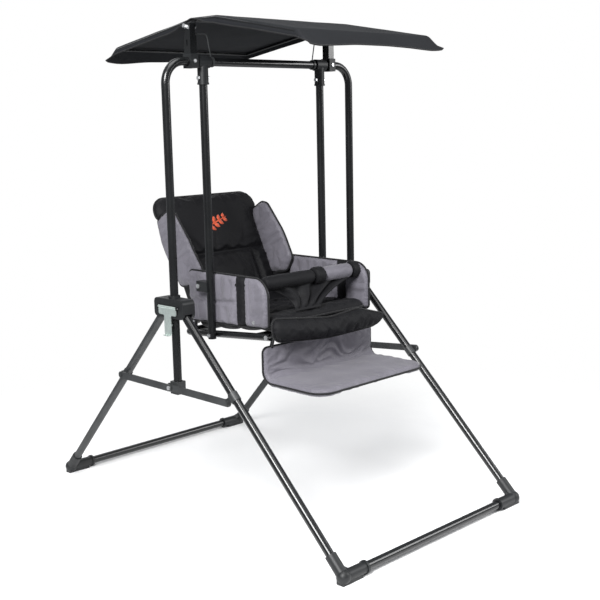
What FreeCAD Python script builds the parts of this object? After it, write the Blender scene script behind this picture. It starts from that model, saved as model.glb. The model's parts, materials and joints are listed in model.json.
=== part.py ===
import FreeCAD, Part
import Sketcher
import math
import os
import re
from types import SimpleNamespace

# Folding garden swing for a baby, with a sun canopy.
# +Z is up, the seat faces -Y, and the floor is z = 0. The two sides are left (-X) and right (+X).
# Every piece is laid out about the vertical plane of the uprights, then moved along Y by
# half the difference of the two foot reaches, so that the origin is under the middle of the feet.

Vector = FreeCAD.Vector
Rotation = FreeCAD.Rotation
Placement = FreeCAD.Placement

SIZES = [
    ("tube_radius", 11.0, "frame tube, outside"),
    ("tube_wall", 1.2, "frame tube wall"),
    ("seat_fit", 0.05, "radial play of a tube in its socket"),
    ("pivot_fit", 0.05, "radial play of a pin in its hole"),
    ("slide_fit", 0.15, "radial play of the hub on the upright"),
    ("soft_gap", 0.3, "air between a soft piece and its neighbour"),
    ("half_span", 340.0, "upright centre from the middle"),
    ("bar_height", 1211.0, "top bar centre above the floor"),
    ("arch_bend", 57.0, "bend radius of the top arch"),
    ("arch_drop", 66.0, "plug joint below the top bar"),
    ("neck_length", 40.0, "swaged neck inside the upright"),
    ("link_height", 365.0, "height of the folding links"),
    ("leg_offset", 3.0, "leg plane outboard of the upright"),
    ("front_reach", 597.0, "front foot from the upright plane"),
    ("rear_reach", 553.0, "rear foot from the upright plane"),
    ("foot_height", 18.0, "foot corner above the floor"),
    ("hub_height", 580.0, "leg pivots above the floor"),
    ("pivot_spread", 28.0, "leg pivot from the upright centre"),
    ("leg_overrun", 8.0, "leg tube beyond its pivot"),
    ("hub_width", 122.0, "hub along Y"),
    ("hub_tall", 50.0, "hub height"),
    ("hub_corner", 12.0, "hub corner radius"),
    ("hub_inboard", 18.0, "hub inboard of the upright centre"),
    ("hub_outboard", 21.0, "hub outboard of the upright centre"),
    ("slot_play", 1.3, "leg slot wider than the leg, on each side"),
    ("bolt_radius", 4.0, "leg pivot bolt"),
    ("rivet_radius", 3.0, "link rivet"),
    ("rivet_head", 6.0, "link rivet head"),
    ("head_thick", 2.0, "rivet head thickness"),
    ("link_width", 19.0, "link bar width"),
    ("link_thick", 3.5, "link bar thickness"),
    ("link_root_y", 10.0, "link root pivot behind the upright centre"),
    ("ear_face", 16.4, "ear face outboard of the upright centre"),
    ("ear_radius", 11.0, "ear on the leg"),
    ("socket_radius", 14.5, "foot connector sleeve"),
    ("leg_socket", 58.0, "foot sleeve along the leg"),
    ("cross_socket", 75.0, "foot sleeve along the cross tube"),
    ("web_reach", 62.0, "corner web of the foot connector"),
    ("web_thick", 9.0, "web thickness"),
    ("lip_radius", 17.0, "lip at the socket mouth"),
    ("lip_length", 6.0, "lip length"),
    ("latch_bar", 74.0, "latch plate bar along Y"),
    ("latch_bar_tall", 21.0, "latch plate bar height"),
    ("latch_stem", 28.0, "latch plate stem width"),
    ("latch_drop", 76.0, "latch plate below its hinge"),
    ("latch_thick", 1.8, "latch plate thickness"),
    ("hanger_span", 217.0, "hanger centre from the middle"),
    ("hanger_low", 476.0, "lower end of the hanger tubes"),
    ("bearing_length", 40.0, "hanger bearing along the bar"),
    ("bearing_radius", 16.0, "hanger bearing, outside"),
    ("hanger_socket", 58.0, "hanger socket below the bar centre"),
    ("small_bolt", 3.0, "small bolt radius"),
    ("seat_bolt_height", 486.0, "seat frame bolt above the floor"),
    ("seat_tilt", 5.0, "seat frame tilt, front up"),
    ("rail_radius", 9.5, "seat rail, outside"),
    ("rail_span", 196.0, "seat rail centre from the middle"),
    ("rail_front", 212.0, "seat rail in front of the hanger"),
    ("rail_length", 362.0, "seat rail along its run"),
    ("rail_bend", 40.0, "seat rail bend radius"),
    ("cushion_thick", 45.0, "seat cushion"),
    ("cushion_front", 216.0, "seat cushion in front of the hanger"),
    ("cushion_rear", 112.0, "seat cushion behind the hanger"),
    ("wall_inner", 184.5, "inner face of the side wall"),
    ("wall_thick", 20.0, "side wall thickness"),
    ("wall_top", 657.0, "top of the side wall"),
    ("wall_corner", 50.0, "front corner of the side wall"),
    ("guard_radius", 7.0, "guard bar tube"),
    ("guard_span", 194.5, "guard bar arm from the middle"),
    ("guard_front", 163.0, "guard bar in front of the hanger"),
    ("guard_height", 636.0, "guard bar above the floor"),
    ("guard_arm", 207.0, "guard bar arm length"),
    ("guard_bend", 20.0, "guard bar bend radius"),
    ("guard_pad", 20.5, "guard bar pad radius"),
    ("back_angle", 25.6, "backrest lean from the vertical"),
    ("back_pivot_y", 130.0, "backrest pivot behind the hanger"),
    ("back_pivot_z", 503.0, "backrest pivot above the floor"),
    ("back_rod", 6.0, "backrest hoop rod radius"),
    ("back_span", 165.0, "backrest hoop leg from the middle"),
    ("back_tall", 345.0, "backrest hoop above its pivot"),
    ("back_pad_width", 372.0, "backrest pad width"),
    ("back_pad_tall", 338.0, "backrest pad height"),
    ("back_pad_low", 26.0, "backrest pad above the pivot"),
    ("back_pad_thick", 34.0, "backrest pad thickness"),
    ("back_pad_corner", 48.0, "backrest pad corner radius"),
    ("wing_inner", 166.0, "inner face of the wing"),
    ("wing_thick", 16.0, "wing thickness"),
    ("wing_deep", 92.0, "wing depth"),
    ("wing_low", 98.0, "wing above the pivot"),
    ("wing_tall", 215.0, "wing height"),
    ("foot_pivot_z", 501.0, "footrest pivot above the floor"),
    ("foot_rod", 5.0, "footrest rod radius"),
    ("foot_span", 188.0, "footrest rod from the middle"),
    ("foot_plate_z", 385.0, "footrest plate above the floor"),
    ("foot_rear", 186.0, "footrest curtain in front of the hanger"),
    ("foot_front", 402.0, "footrest front edge"),
    ("foot_pad_half", 205.0, "footrest pad half width"),
    ("foot_pad_thick", 14.0, "footrest pad thickness"),
    ("foot_pad_top", 478.0, "top of the footrest curtain"),
    ("clamp_offset", 38.0, "canopy clamp outboard of the hanger"),
    ("post_top", 66.0, "top of the canopy post above the top bar"),
    ("slider_top", 95.0, "top of the canopy slider above the top bar"),
    ("canopy_pivot", 87.0, "canopy pivot above the top bar"),
    ("canopy_rod", 3.5, "canopy rod radius"),
    ("canopy_rod_span", 243.0, "canopy side rod from the middle"),
    ("canopy_half", 262.0, "canopy half width"),
    ("canopy_front", 379.0, "canopy fold in front of the bar"),
    ("canopy_rear", 347.0, "canopy fold behind the bar"),
    ("ridge_front", 87.0, "front ridge in front of the bar"),
    ("ridge_rear", 4.0, "rear ridge behind the bar"),
    ("fold_height", 55.0, "canopy fold above the top bar"),
    ("ridge_height", 110.0, "canopy ridge above the top bar"),
    ("cloth_thick", 2.5, "canopy cloth"),
    ("valance_tall", 45.0, "front and rear valance height"),
    ("valance_flare", 48.0, "front and rear valance spread"),
    ("side_valance", 20.0, "side valance height"),
]

DOC = FreeCAD.newDocument("swing")
SHEET = DOC.addObject("Spreadsheet::Sheet", "Sizes")
for row, (alias, value, note) in enumerate(SIZES, 1):
    SHEET.set(f"A{row}", alias)
    SHEET.set(f"B{row}", str(value))
    SHEET.set(f"C{row}", note)
    SHEET.setAlias(f"B{row}", alias)
DOC.recompute()
s = SimpleNamespace(**{alias: float(SHEET.get(alias)) for alias, _, _ in SIZES})


def above_bar(height):
    """Height above the floor of a point that is measured from the top bar."""
    return s.bar_height + height


def clamp_centre():
    """Distance of a canopy clamp from the middle."""
    return s.hanger_span + s.clamp_offset
NODES = []


def bound(text):
    """The expression with its size names pointed at the sheet."""
    return re.sub(r"\b([a-z]+_[a-z_]+)\b", r"Sizes.\1", text)


def set_size(piece, name, amount):
    """Bind a property to an expression, or set it to a number worked out from the sheet."""
    if isinstance(amount, str):
        piece.setExpression(name, bound(amount))
    else:
        setattr(piece, name, amount)


def turn_x(angle):
    return Rotation(Vector(1, 0, 0), angle)


def pointing(direction):
    return Rotation(Vector(0, 0, 1), Vector(*direction))


# ---------------------------------------------------------------- building blocks

def rod(name, radius, length, start, along=(0, 0, 1)):
    piece = DOC.addObject("Part::Cylinder", name)
    set_size(piece, "Radius", radius)
    set_size(piece, "Height", length)
    piece.Placement = Placement(Vector(*start), pointing(along))
    return piece


def block(name, length, width, height, corner, rotation=Rotation()):
    piece = DOC.addObject("Part::Box", name)
    set_size(piece, "Length", length)
    set_size(piece, "Width", width)
    set_size(piece, "Height", height)
    piece.Placement = Placement(Vector(*corner), rotation)
    return piece


def ball(name, radius, centre):
    piece = DOC.addObject("Part::Sphere", name)
    set_size(piece, "Radius", radius)
    piece.Placement = Placement(Vector(*centre), Rotation())
    return piece


def join(name, *parts):
    piece = DOC.addObject("Part::MultiFuse", name)
    piece.Shapes = list(parts)
    return piece


def cut(name, base, *tools):
    piece = DOC.addObject("Part::Cut", name)
    piece.Base = base
    piece.Tool = tools[0] if len(tools) == 1 else join(name + "_tools", *tools)
    return piece


def group(name, *parts):
    """Separate solids that share one node."""
    piece = DOC.addObject("Part::Compound", name)
    piece.Links = list(parts)
    return piece


def own_shape(name, shape):
    piece = DOC.addObject("Part::Feature", name)
    piece.Shape = shape
    return piece


def sketch_on(body, role, name, offset=None):
    """A sketch on one of the body's own planes, moved by an (x, y, z) offset of expressions."""
    sketch = body.newObject("Sketcher::SketchObject", name)
    plane = [item for item in body.Origin.OriginFeatures if item.Role == role][0]
    sketch.AttachmentSupport = (plane, [""])
    sketch.MapMode = "FlatFace"
    for axis, amount in zip("xyz", offset or ()):
        if isinstance(amount, str):
            sketch.setExpression("AttachmentOffset.Base." + axis, bound(amount))
    return sketch


def hold(sketch, amount, *where):
    """A driving constraint: an expression of the sheet, or a number."""
    start = float(amount) if not isinstance(amount, str) else None
    constraint = Sketcher.Constraint(*where) if start is None else Sketcher.Constraint(*where[:-1], start)
    index = sketch.addConstraint(constraint)
    if start is None:
        sketch.setExpression(f"Constraints[{index}]", bound(amount))


def circle(sketch, radius, guess):
    """A circle about the sketch's origin."""
    index = sketch.addGeometry(Part.Circle(Vector(), Vector(0, 0, 1), guess), False)
    sketch.addConstraint(Sketcher.Constraint("Coincident", index, 3, -1, 1))
    hold(sketch, radius, "Radius", index, guess)
    return index


def tube(name, radius, wall, length):
    """A straight round tube that stands on the origin, and its body."""
    body = DOC.addObject("PartDesign::Body", name)
    ring = sketch_on(body, "XY_Plane", name + "_ring")
    circle(ring, radius, 20.0)
    circle(ring, f"{radius} - {wall}", 10.0)
    pad = body.newObject("PartDesign::Pad", name + "_pad")
    pad.Profile = ring
    set_size(pad, "Length", length)
    return body


def drill(body, role, radius, height):
    """A round hole across a tube that stands on the origin."""
    label = f"{body.Name}_hole{len(body.Group)}"
    sketch = sketch_on(body, role, label)
    index = sketch.addGeometry(Part.Circle(Vector(0, height, 0), Vector(0, 0, 1), 3.0), False)
    sketch.addConstraint(Sketcher.Constraint("PointOnObject", index, 3, -2))
    sketch.addConstraint(Sketcher.Constraint("DistanceY", -1, 1, index, 3, height))
    hold(sketch, radius, "Radius", index, 3.0)
    DOC.recompute()
    before = body.Shape.Volume
    pocket = body.newObject("PartDesign::Pocket", label + "_cut")
    pocket.Profile = sketch
    pocket.Type = "ThroughAll"
    pocket.SideType = "Symmetric"
    DOC.recompute()
    if body.Shape.Volume >= before:
        raise RuntimeError(label + " cuts nothing")


def hoop(name, half, leg, bend, radius, wall=None):
    """A U of round tube: the cross bar lies along X at z = 0, and the legs go down from it."""
    body = DOC.addObject("PartDesign::Body", name)
    path = sketch_on(body, "XZ_Plane", name + "_path")
    wide = getattr(s, half)
    down = getattr(s, leg)
    turn = getattr(s, bend)
    left = Part.Circle(Vector(turn - wide, -turn, 0), Vector(0, 0, 1), turn)
    right = Part.Circle(Vector(wide - turn, -turn, 0), Vector(0, 0, 1), turn)
    path.addGeometry([
        Part.LineSegment(Vector(-wide, -down, 0), Vector(-wide, -turn, 0)),
        Part.ArcOfCircle(left, math.pi / 2, math.pi),
        Part.LineSegment(Vector(turn - wide, 0, 0), Vector(wide - turn, 0, 0)),
        Part.ArcOfCircle(right, 0, math.pi / 2),
        Part.LineSegment(Vector(wide, -turn, 0), Vector(wide, -down, 0)),
    ], False)
    relation = Sketcher.Constraint
    path.addConstraint([
        relation("Tangent", 0, 2, 1, 2),
        relation("Tangent", 1, 1, 2, 1),
        relation("Tangent", 2, 2, 3, 2),
        relation("Tangent", 3, 1, 4, 1),
        relation("Vertical", 0),
        relation("Horizontal", 2),
        relation("Vertical", 4),
        relation("Equal", 1, 3),
        relation("PointOnObject", 2, 1, -1),
    ])
    hold(path, bend, "Radius", 1, turn)
    hold(path, half, "DistanceX", 0, 1, -1, 1, wide)
    hold(path, half, "DistanceX", -1, 1, 4, 2, wide)
    hold(path, leg, "DistanceY", 0, 1, -1, 1, down)
    hold(path, leg, "DistanceY", 4, 2, -1, 1, down)
    ring = sketch_on(body, "XY_Plane", name + "_ring", ("-" + half, "0", "-" + leg))
    circle(ring, radius, 20.0)
    if wall:
        circle(ring, f"{radius} - {wall}", 10.0)
    pipe = body.newObject("PartDesign::AdditivePipe", name + "_pipe")
    pipe.Profile = ring
    pipe.Spine = (path, [])
    return body


def outline(name, role, points, thick, holes=(), centred=True):
    """A plate with a closed outline of straight edges and round corners.
    Each point is (x, y, corner radius) in the sketch, and each hole (x, y, radius expression)."""
    body = DOC.addObject("PartDesign::Body", name)
    sketch = sketch_on(body, role, name + "_outline")
    edges = rounded(points)
    sketch.addGeometry([edge for edge, _, _ in edges], False)
    count = len(edges)
    for index in range(count):
        follower = (index + 1) % count
        leaves = edges[index][2]
        arrives = edges[follower][1]
        sketch.addConstraint(Sketcher.Constraint("Coincident", index, leaves, follower, arrives))
    for x, y, radius in holes:
        index = sketch.addGeometry(Part.Circle(Vector(x, y, 0), Vector(0, 0, 1), 3.0), False)
        hold(sketch, radius, "Radius", index, 3.0)
    pad = body.newObject("PartDesign::Pad", name + "_pad")
    pad.Profile = sketch
    set_size(pad, "Length", thick)
    if centred:
        pad.SideType = "Symmetric"
    return body


START = 1
END = 2


def corner_arc(before, here, after, radius):
    """The arc that rounds one corner, with the points where it leaves the two edges.
    The arc runs counter-clockwise, so in a hollow corner its end comes first."""
    back = (before - here).normalize()
    ahead = (after - here).normalize()
    half = back.getAngle(ahead) / 2
    reach = radius / math.tan(half)
    centre = here + (back + ahead).normalize() * (radius / math.sin(half))
    first = here + back * reach
    last = here + ahead * reach
    begin = math.atan2(first.y - centre.y, first.x - centre.x)
    finish = math.atan2(last.y - centre.y, last.x - centre.x)
    ring = Part.Circle(centre, Vector(0, 0, 1), radius)
    hollow = ahead.cross(back).z < 0
    if hollow:
        return first, last, (Part.ArcOfCircle(ring, finish, begin), END, START)
    return first, last, (Part.ArcOfCircle(ring, begin, finish), START, END)


def rounded(points):
    """Edges of a counter-clockwise outline whose corners have their own radius.
    Each edge comes with the numbers of its first and last point, going round."""
    corners = []
    places = [Vector(x, y, 0) for x, y, _ in points]
    for index, (_, _, radius) in enumerate(points):
        here = places[index]
        after = places[(index + 1) % len(points)]
        if radius > 0:
            corners.append(corner_arc(places[index - 1], here, after, radius))
        else:
            corners.append((here, here, None))
    edges = []
    for index, (_, last, arc) in enumerate(corners):
        following = corners[(index + 1) % len(corners)][0]
        if arc:
            edges.append(arc)
        edges.append((Part.LineSegment(last, following), START, END))
    return edges


def swept_rod(points, radius, bend):
    """A round rod along straight runs joined by arcs of one radius."""
    path = [Vector(*point) for point in points]
    edges = []
    here = path[0]
    for before, corner, after in zip(path, path[1:], path[2:]):
        back = (before - corner).normalize()
        ahead = (after - corner).normalize()
        half = back.getAngle(ahead) / 2
        reach = bend / math.tan(half)
        first = corner + back * reach
        last = corner + ahead * reach
        centre = corner + (back + ahead).normalize() * (bend / math.sin(half))
        middle = centre + (corner - centre).normalize() * bend
        edges.append(Part.LineSegment(here, first).toShape())
        edges.append(Part.Arc(first, middle, last).toShape())
        here = last
    edges.append(Part.LineSegment(here, path[-1]).toShape())
    wire = Part.Wire(edges)
    profile = Part.Wire([Part.Circle(path[0], path[1] - path[0], radius).toShape()])
    return wire.makePipeShell([profile], True, True)


def settle(piece, node, x=0.0, y=0.0, z=0.0, rotation=Rotation()):
    """Name a finished piece and put it in its place."""
    DOC.recompute()
    piece.Label = node
    piece.Placement = Placement(Vector(0, 0, 0), rotation)
    middle = "(front_reach - rear_reach) / 2"
    for axis, amount in (("x", x), ("y", y), ("z", z)):
        text = amount if isinstance(amount, str) else repr(float(amount))
        if axis == "y":
            text = f"{text} + {middle}"
        piece.setExpression("Placement.Base." + axis, bound(text))
    NODES.append(piece)


SIDES = (("left", -1), ("right", 1))
HALF_TURN = Rotation(Vector(0, 0, 1), 180)


def facing(side):
    """Rotation of a piece drawn with +X outboard."""
    return Rotation() if side > 0 else HALF_TURN


# ---------------------------------------------------------------- root: arch, uprights, brackets

def make_top_arch():
    body = hoop("top_arch", "half_span", "arch_drop", "arch_bend", "tube_radius", "tube_wall")
    for label, outer, length, down in (("shoulder", "tube_radius", "2 * tube_wall", False),
                                       ("neck", "tube_radius - tube_wall - seat_fit", "neck_length", True)):
        for name, side in SIDES:
            offset = (("-" if side < 0 else "") + "half_span", "0", "-arch_drop")
            ring = sketch_on(body, "XY_Plane", f"{label}_{name}", offset)
            circle(ring, outer, 20.0)
            circle(ring, "tube_radius - 2 * tube_wall - seat_fit", 5.0)
            pad = body.newObject("PartDesign::Pad", f"{label}_{name}_pad")
            pad.Profile = ring
            set_size(pad, "Length", length)
            pad.Reversed = down
    settle(body, "top_arch", 0, 0, "bar_height")


BRACKET_LOW = -17.0
BRACKET_FLOOR = 3.0
BRACKET_DEEP = 30.0
BRACKET_TALL = 34.0
BRACKET_WALL = 3.0
TONGUE_LONG = 26.0
TONGUE_SHORT = 22.0
TONGUE_HALF_TALL = 12.0
TONGUE_CORNER = 10.0


def make_uprights():
    for name, side in SIDES:
        low = s.link_height + BRACKET_LOW + BRACKET_FLOOR
        body = tube(f"upright_{name}", "tube_radius", "tube_wall", f"bar_height - arch_drop - {low}")
        settle(body, f"upright_{name}", f"{side} * half_span", 0, low)


def make_lower_brackets():
    """Sleeves under the uprights, with a thin tongue that the folded legs pass inboard of."""
    inner = s.tube_radius + BRACKET_WALL
    plate = s.leg_offset + s.tube_radius + LAYER_GAP
    half_tall = TONGUE_HALF_TALL
    points = [(-TONGUE_LONG, -half_tall, TONGUE_CORNER), (TONGUE_SHORT, -half_tall, TONGUE_CORNER),
              (TONGUE_SHORT, half_tall, TONGUE_CORNER), (-TONGUE_LONG, half_tall, TONGUE_CORNER)]
    for name, side in SIDES:
        sleeve = block(f"sleeve_{name}", inner + plate, BRACKET_DEEP, BRACKET_TALL,
                       (-inner, -BRACKET_DEEP / 2, BRACKET_LOW))
        tongue = outline(f"tongue_{name}", "YZ_Plane", points, s.ear_face - plate, centred=False)
        tongue.Placement = Placement(Vector(plate, 0, 0), Rotation())
        floor = (0, 0, BRACKET_LOW + BRACKET_FLOOR)
        bore = rod(f"bracket_bore_{name}", "tube_radius + seat_fit", 60.0, floor)
        piece = cut(f"bracket_{name}", join(f"bracket_body_{name}", sleeve, tongue), bore)
        settle(piece, f"lower_bracket_{name}", f"{side} * half_span", 0, "link_height", facing(side))


LAYER_GAP = 0.3


def layer_face(layer):
    """Inner face of a link bar, outboard of the upright centre. Layer 0 lies next to the ears."""
    return s.ear_face + LAYER_GAP + layer * (s.link_thick + LAYER_GAP)


def make_frame_rivets():
    """Rivets of the link root pivots and of the canopy clamps."""
    parts = []
    for name, side in SIDES:
        reach = layer_face(2) - s.ear_face
        start = (side * (s.half_span + s.ear_face), -side * s.link_root_y, s.link_height)
        shank = rod(f"lower_shank_{name}", "rivet_radius", reach, start, (side, 0, 0))
        tip = (side * (s.half_span + layer_face(2)), -side * s.link_root_y, s.link_height)
        head = rod(f"lower_head_{name}", "rivet_head", "head_thick", tip, (side, 0, 0))
        parts.append(join(f"lower_rivet_{name}", shank, head))
    for name, side in SIDES:
        front = (side * clamp_centre(), -CLAMP_DEEP / 2, s.bar_height + 1.0)
        parts.append(rod(f"clamp_rivet_{name}", 4.5, 2.0, front, (0, -1, 0)))
    settle(group("frame_rivet_group", *parts), "frame_rivets")


# ---------------------------------------------------------------- links

# Where each link meets its leg: side, end, distance along Y, height and layer.
LINKS = {
    "front_left": (-1, -218.0, 365.0, 0),
    "rear_left": (-1, 230.0, 365.0, 1),
    "front_right": (1, -238.0, 385.0, 1),
    "rear_right": (1, 218.0, 365.0, 0),
}


def make_links():
    for name, (side, ear_y, ear_z, layer) in LINKS.items():
        root_y = -side * s.link_root_y
        along = math.hypot(ear_y - root_y, ear_z - s.link_height)
        half = s.link_width / 2
        points = [(-half, -half, half * 0.999), (along + half, -half, half * 0.999),
                  (along + half, half, half * 0.999), (-half, half, half * 0.999)]
        holes = [(0, 0, "rivet_radius + pivot_fit"), (along, 0, "rivet_radius")]
        bar = outline(f"bar_{name}", "XY_Plane", points, "link_thick", holes, centred=False)
        shank = rod(f"shank_{name}", "rivet_radius", "link_thick", (along, 0, 0))
        head = rod(f"head_{name}", "rivet_head", "head_thick", (along, 0, s.link_thick))
        rivet = join(f"link_rivet_{name}", shank, head)
        piece = group(f"link_group_{name}", bar, rivet)
        run = Vector(0, ear_y - root_y, ear_z - s.link_height).normalize()
        outward = Vector(side, 0, 0)
        turned = Rotation(run, outward.cross(run), outward, "ZXY")
        settle(piece, f"link_{name}", side * (s.half_span + layer_face(layer)), root_y, "link_height", turned)


# ---------------------------------------------------------------- legs and feet

def leg_line(reach, end):
    """Pivot, unit direction down the leg and length to the foot corner. end is -1 front, 1 rear."""
    pivot = Vector(0, end * s.pivot_spread, s.hub_height)
    corner = Vector(0, end * reach, s.foot_height)
    run = corner - pivot
    length = run.Length
    return pivot, run.normalize(), length


CORNER_SOLID = 14.0


def make_legs():
    for end_name, end, reach in (("front", -1, s.front_reach), ("rear", 1, s.rear_reach)):
        pivot, run, length = leg_line(reach, end)
        top = pivot - run * s.leg_overrun
        for name, side in SIDES:
            label = f"{end_name}_leg_{name}"
            body = tube(label, "tube_radius", "tube_wall", length + s.leg_overrun - CORNER_SOLID)
            drill(body, "YZ_Plane", "bolt_radius + pivot_fit", s.leg_overrun)
            settle(body, label, f"{side} * (half_span + leg_offset)", top.y, top.z, pointing(run))


def make_cross_tubes():
    for end_name, end in (("front", -1), ("rear", 1)):
        label = f"{end_name}_cross_tube"
        body = tube(label, "tube_radius", "tube_wall", f"2 * (half_span + leg_offset - {CORNER_SOLID})")
        settle(body, label, f"-(half_span + leg_offset - {CORNER_SOLID})", f"{end} * {end_name}_reach",
               "foot_height", pointing((1, 0, 0)))


def make_feet():
    """Corner connectors: two sleeves, a web with a round inner edge, and a flat sole."""
    for end_name, end, reach in (("front", -1, s.front_reach), ("rear", 1, s.rear_reach)):
        run = leg_line(reach, end)[1] * -1
        for name, side in SIDES:
            label = f"{end_name}_foot_{name}"
            inward = Vector(-side, 0, 0)
            corner = Vector(0, 0, 0)
            leg_sleeve = rod(label + "_leg_sleeve", "socket_radius", "leg_socket", corner, tuple(run))
            cross_sleeve = rod(label + "_cross_sleeve", "socket_radius", "cross_socket", corner, inward)
            mouth = inward * (s.cross_socket - s.lip_length)
            lip = rod(label + "_lip", "lip_radius", "lip_length", tuple(mouth), tuple(inward))
            knuckle = ball(label + "_knuckle", s.foot_height - 0.4, corner)
            sole_long = s.cross_socket - s.lip_length
            sole = block(label + "_sole", sole_long, 22.0, "foot_height", (0, -11.0, -s.foot_height))
            sole.Placement.Base.x = -12.0 if side < 0 else 12.0 - sole_long
            web = own_shape(label + "_web", web_shape(run, inward))
            solid = join(label + "_solid", leg_sleeve, cross_sleeve, lip, knuckle, sole, web)
            leg_bore = rod(label + "_leg_bore", "tube_radius + seat_fit", "leg_socket",
                           tuple(run * CORNER_SOLID), tuple(run))
            cross_bore = rod(label + "_cross_bore", "tube_radius + seat_fit", "cross_socket",
                             tuple(inward * CORNER_SOLID), tuple(inward))
            piece = cut(label + "_cut", solid, leg_bore, cross_bore)
            settle(piece, label, f"{side} * (half_span + leg_offset)", f"{end} * {end_name}_reach",
                   "foot_height")


def web_shape(run, inward):
    """The flat web between the two sleeves, with a quarter round hollow edge."""
    reach = s.web_reach
    normal = run.cross(inward).normalize()
    centre = (run + inward) * reach
    middle = centre - (run + inward).normalize() * reach
    first = run * reach
    last = inward * reach
    edges = [
        Part.LineSegment(Vector(0, 0, 0), first).toShape(),
        Part.Arc(first, middle, last).toShape(),
        Part.LineSegment(last, Vector(0, 0, 0)).toShape(),
    ]
    face = Part.Face(Part.Wire(edges))
    face.translate(normal * (-s.web_thick / 2))
    return face.extrude(normal * s.web_thick)


EAR_CLEAR = 0.5
EAR_STRAP = 16.0
EAR_RING = 24.0
RING_SHY = 0.2


def make_leg_ears():
    """Clamp rings on the legs with flat ears for the outer ends of the links.
    The ears lie outboard of the uprights, so that they pass them when the legs fold."""
    back = s.tube_radius + EAR_CLEAR
    ring_radius = s.ear_face - s.leg_offset - RING_SHY
    for end_name, end, reach in (("front", -1, s.front_reach), ("rear", 1, s.rear_reach)):
        pivot, run, _ = leg_line(reach, end)
        parts = []
        for name, side in SIDES:
            _, ear_y, ear_z, layer = LINKS[f"{end_name}_{name}"]
            label = f"{end_name}_ear_{name}"
            outward = Vector(side, 0, 0)
            ear = Vector(side * (s.half_span + back), ear_y, ear_z)
            offset = Vector(0, ear_y, ear_z) - pivot
            on_leg = pivot + run * offset.dot(run)
            centre = on_leg + outward * (s.half_span + s.leg_offset)
            ring = rod(label + "_ring", ring_radius, EAR_RING, centre - run * (EAR_RING / 2), run)
            boss = rod(label + "_boss", "ear_radius", s.ear_face - back, ear, outward)
            top = s.ear_face if layer == 0 else layer_face(1) - LAYER_GAP
            nose = rod(label + "_nose", "ear_radius - 4", top - back, ear, outward)
            sideways = Vector(0, ear_y, ear_z) - on_leg
            spread = sideways.Length
            sideways.normalize()
            across = outward.cross(sideways)
            strap_start = on_leg + outward * (s.half_span + back) - across * (EAR_STRAP / 2)
            strap = block(label + "_strap", s.leg_offset + ring_radius - back, spread, EAR_STRAP, strap_start,
                          Rotation(outward, sideways, across, "ZXY"))
            bore = rod(label + "_bore", "tube_radius + seat_fit", 90.0, centre - run * 45.0, run)
            parts.append(cut(label, join(label + "_body", ring, boss, nose, strap), bore))
        settle(group(f"{end_name}_ear_group", *parts), f"{end_name}_leg_ears")


# ---------------------------------------------------------------- hubs and latches

HUB_SPREAD_START = 14.2
HUB_END_WALL = 4.0
LATCH_HINGE = (24.8, 4.0)
LATCH_PIN = 1.6
LATCH_KNUCKLE = 3.3


def make_hubs():
    half = s.hub_width / 2
    tall = s.hub_tall / 2
    corner = s.hub_corner
    for name, side in SIDES:
        label = f"hub_{name}"
        points = [(-half, -tall, corner), (half, -tall, corner), (half, tall, corner), (-half, tall, corner)]
        shell = outline(label + "_shell", "YZ_Plane", points, "hub_inboard + hub_outboard", centred=False)
        shell.Placement.Base.x = -s.hub_inboard
        collar = rod(label + "_collar", "tube_radius + 4.5", tall + 7.0, (0, 0, 0))
        lugs = []
        for index, y in enumerate((-1, 1)):
            middle = y * (s.latch_bar / 2 + 3.0)
            lugs.append(block(f"{label}_lug{index}", LATCH_HINGE[0] + 3.5 - s.hub_outboard + 1.0, 4.0, 9.0,
                              (s.hub_outboard - 1.0, middle - 2.0, LATCH_HINGE[1] - 4.5)))
        solid = join(label + "_solid", shell, collar, *lugs)
        tools = [rod(label + "_bore", "tube_radius + slide_fit", 90.0, (0, 0, -45.0))]
        slot_low = s.leg_offset - s.tube_radius - s.slot_play
        slot_wide = "2 * (tube_radius + slot_play)"
        for index, y in enumerate((-1, 1)):
            deep = half - HUB_END_WALL - HUB_SPREAD_START
            start = HUB_SPREAD_START if y > 0 else -HUB_SPREAD_START - deep
            tools.append(block(f"{label}_slot{index}", slot_wide, deep, tall + 15.0,
                               (slot_low, start, -tall)))
            mouth = half - HUB_END_WALL - 1.0 if y > 0 else -half - 5.0
            tools.append(block(f"{label}_mouth{index}", slot_wide, HUB_END_WALL + 6.0, 16.0,
                               (slot_low, mouth, -tall - 3.0)))
            tools.append(rod(f"{label}_pivot{index}", "bolt_radius + seat_fit", 80.0,
                             (-40.0, y * s.pivot_spread, 0), (1, 0, 0)))
        tools.append(rod(label + "_pin_hole", LATCH_PIN + s.seat_fit, 120.0,
                         (LATCH_HINGE[0], -60.0, LATCH_HINGE[1]), (0, 1, 0)))
        piece = cut(label + "_cut", solid, *tools)
        settle(piece, label, f"{side} * half_span", 0, "hub_height", facing(side))


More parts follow.
